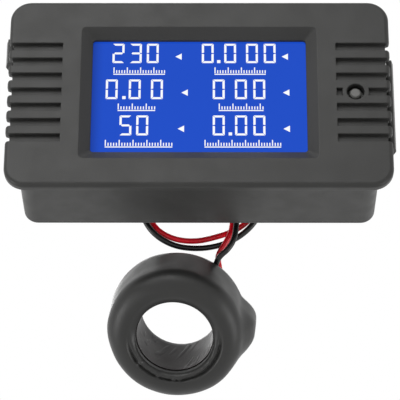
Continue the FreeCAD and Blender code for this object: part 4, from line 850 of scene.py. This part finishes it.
# Each lamp's place, the point it shines at, its width and its power in watts.
LAMPS = {
    "key": ((-0.24, -0.68, 0.4), (0, 0, -0.01), 0.7, 5.7),
    "back": ((-0.05, 0.62, 0.45), (0, 0.02, -0.01), 0.4, 1.8),
    "left": ((-0.32, -0.05, -0.22), (-0.03, 0.01, -0.02), 0.16, 0.4),
    "right": ((0.32, -0.05, -0.22), (0.03, 0.01, -0.02), 0.16, 0.4),
}


def make_lamp(name, place, target, width, power):
    data = bpy.data.lights.new(name, "AREA")
    data.shape = "SQUARE"
    data.size = width
    data.energy = power
    lamp = bpy.data.objects.new(name, data)
    bpy.context.scene.collection.objects.link(lamp)
    lamp.location = place
    aim = Vector(target) - Vector(place)
    lamp.rotation_mode = "QUATERNION"
    lamp.rotation_quaternion = aim.to_track_quat("-Z", "Y")


def mix_shaders(tree, share, first, second, output):
    """Two shaders mixed by a share, at an output."""
    mix = add_node(tree, "ShaderNodeMixShader")
    tree.links.new(share, mix.inputs["Fac"])
    tree.links.new(first, mix.inputs[1])
    tree.links.new(second, mix.inputs[2])
    tree.links.new(mix.outputs["Shader"], output.inputs["Surface"])


def make_world():
    """A white surround for the camera and reflections, and plain fill light."""
    world = bpy.data.worlds.new("world")
    bpy.context.scene.world = world
    world.use_nodes = True
    tree = world.node_tree
    tree.nodes.clear()
    rays = add_node(tree, "ShaderNodeLightPath").outputs
    seen = maths(tree, "MAXIMUM", rays["Is Camera Ray"], rays["Is Glossy Ray"])
    seen = maths(tree, "MAXIMUM", seen, rays["Is Transmission Ray"])
    fill = add_node(tree, "ShaderNodeBackground", Color=WHITE, Strength=FILL_LEVEL)
    white = add_node(tree, "ShaderNodeBackground", Color=WHITE, Strength=1.0)
    output = add_node(tree, "ShaderNodeOutputWorld")
    mix_shaders(tree, seen, fill.outputs["Background"], white.outputs["Background"], output)


def make_floor():
    """A plain pale floor far below, outside the photograph's view."""
    mesh = bmesh.new()
    bmesh.ops.create_grid(mesh, x_segments=FLOOR_CELLS, y_segments=FLOOR_CELLS, size=FLOOR_REACH)
    data = bpy.data.meshes.new("floor")
    mesh.to_mesh(data)
    mesh.free()
    floor = bpy.data.objects.new("floor", data)
    bpy.context.scene.collection.objects.link(floor)
    floor.location = (0, 0, FLOOR_Z)
    material, tree, shader = new_material("floor")
    shader.inputs["Roughness"].default_value = FLOOR_ROUGHNESS
    shader.inputs["Emission Color"].default_value = WHITE
    place, _ = grain(tree, shader, *FLOOR_GRAIN)
    mottle(tree, shader, place, FLOOR_SCALE, *FLOOR_SHADES)
    rays = add_node(tree, "ShaderNodeLightPath").outputs
    lift = maths(tree, "MULTIPLY", rays["Is Camera Ray"], FLOOR_LIFT)
    tree.links.new(lift, shader.inputs["Emission Strength"])
    reflected = maths(tree, "MAXIMUM", rays["Is Glossy Ray"], rays["Is Transmission Ray"])
    white = add_node(tree, "ShaderNodeEmission", Color=WHITE, Strength=1.0)
    output = tree.nodes["Material Output"]
    mix_shaders(tree, reflected, shader.outputs["BSDF"], white.outputs["Emission"], output)
    data.materials.append(material)


def main():
    make_camera()
    finishes = make_materials()
    red = make_lead("red_lead", RED_ROUTE, "red_insulation", finishes)
    black = make_lead("black_lead", BLACK_ROUTE, "black_insulation", finishes)
    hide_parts("lead_red")
    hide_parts("lead_black")
    dress_nodes(finishes)
    make_display_marks(finishes["display_mark"])
    make_sleeve(finishes["ring_rubber"])
    make_grommet(finishes["ring_rubber"])
    make_world()
    make_floor()
    for name, lamp in LAMPS.items():
        make_lamp(name, *lamp)
    bpy.context.scene.view_settings.view_transform = "Standard"


main()
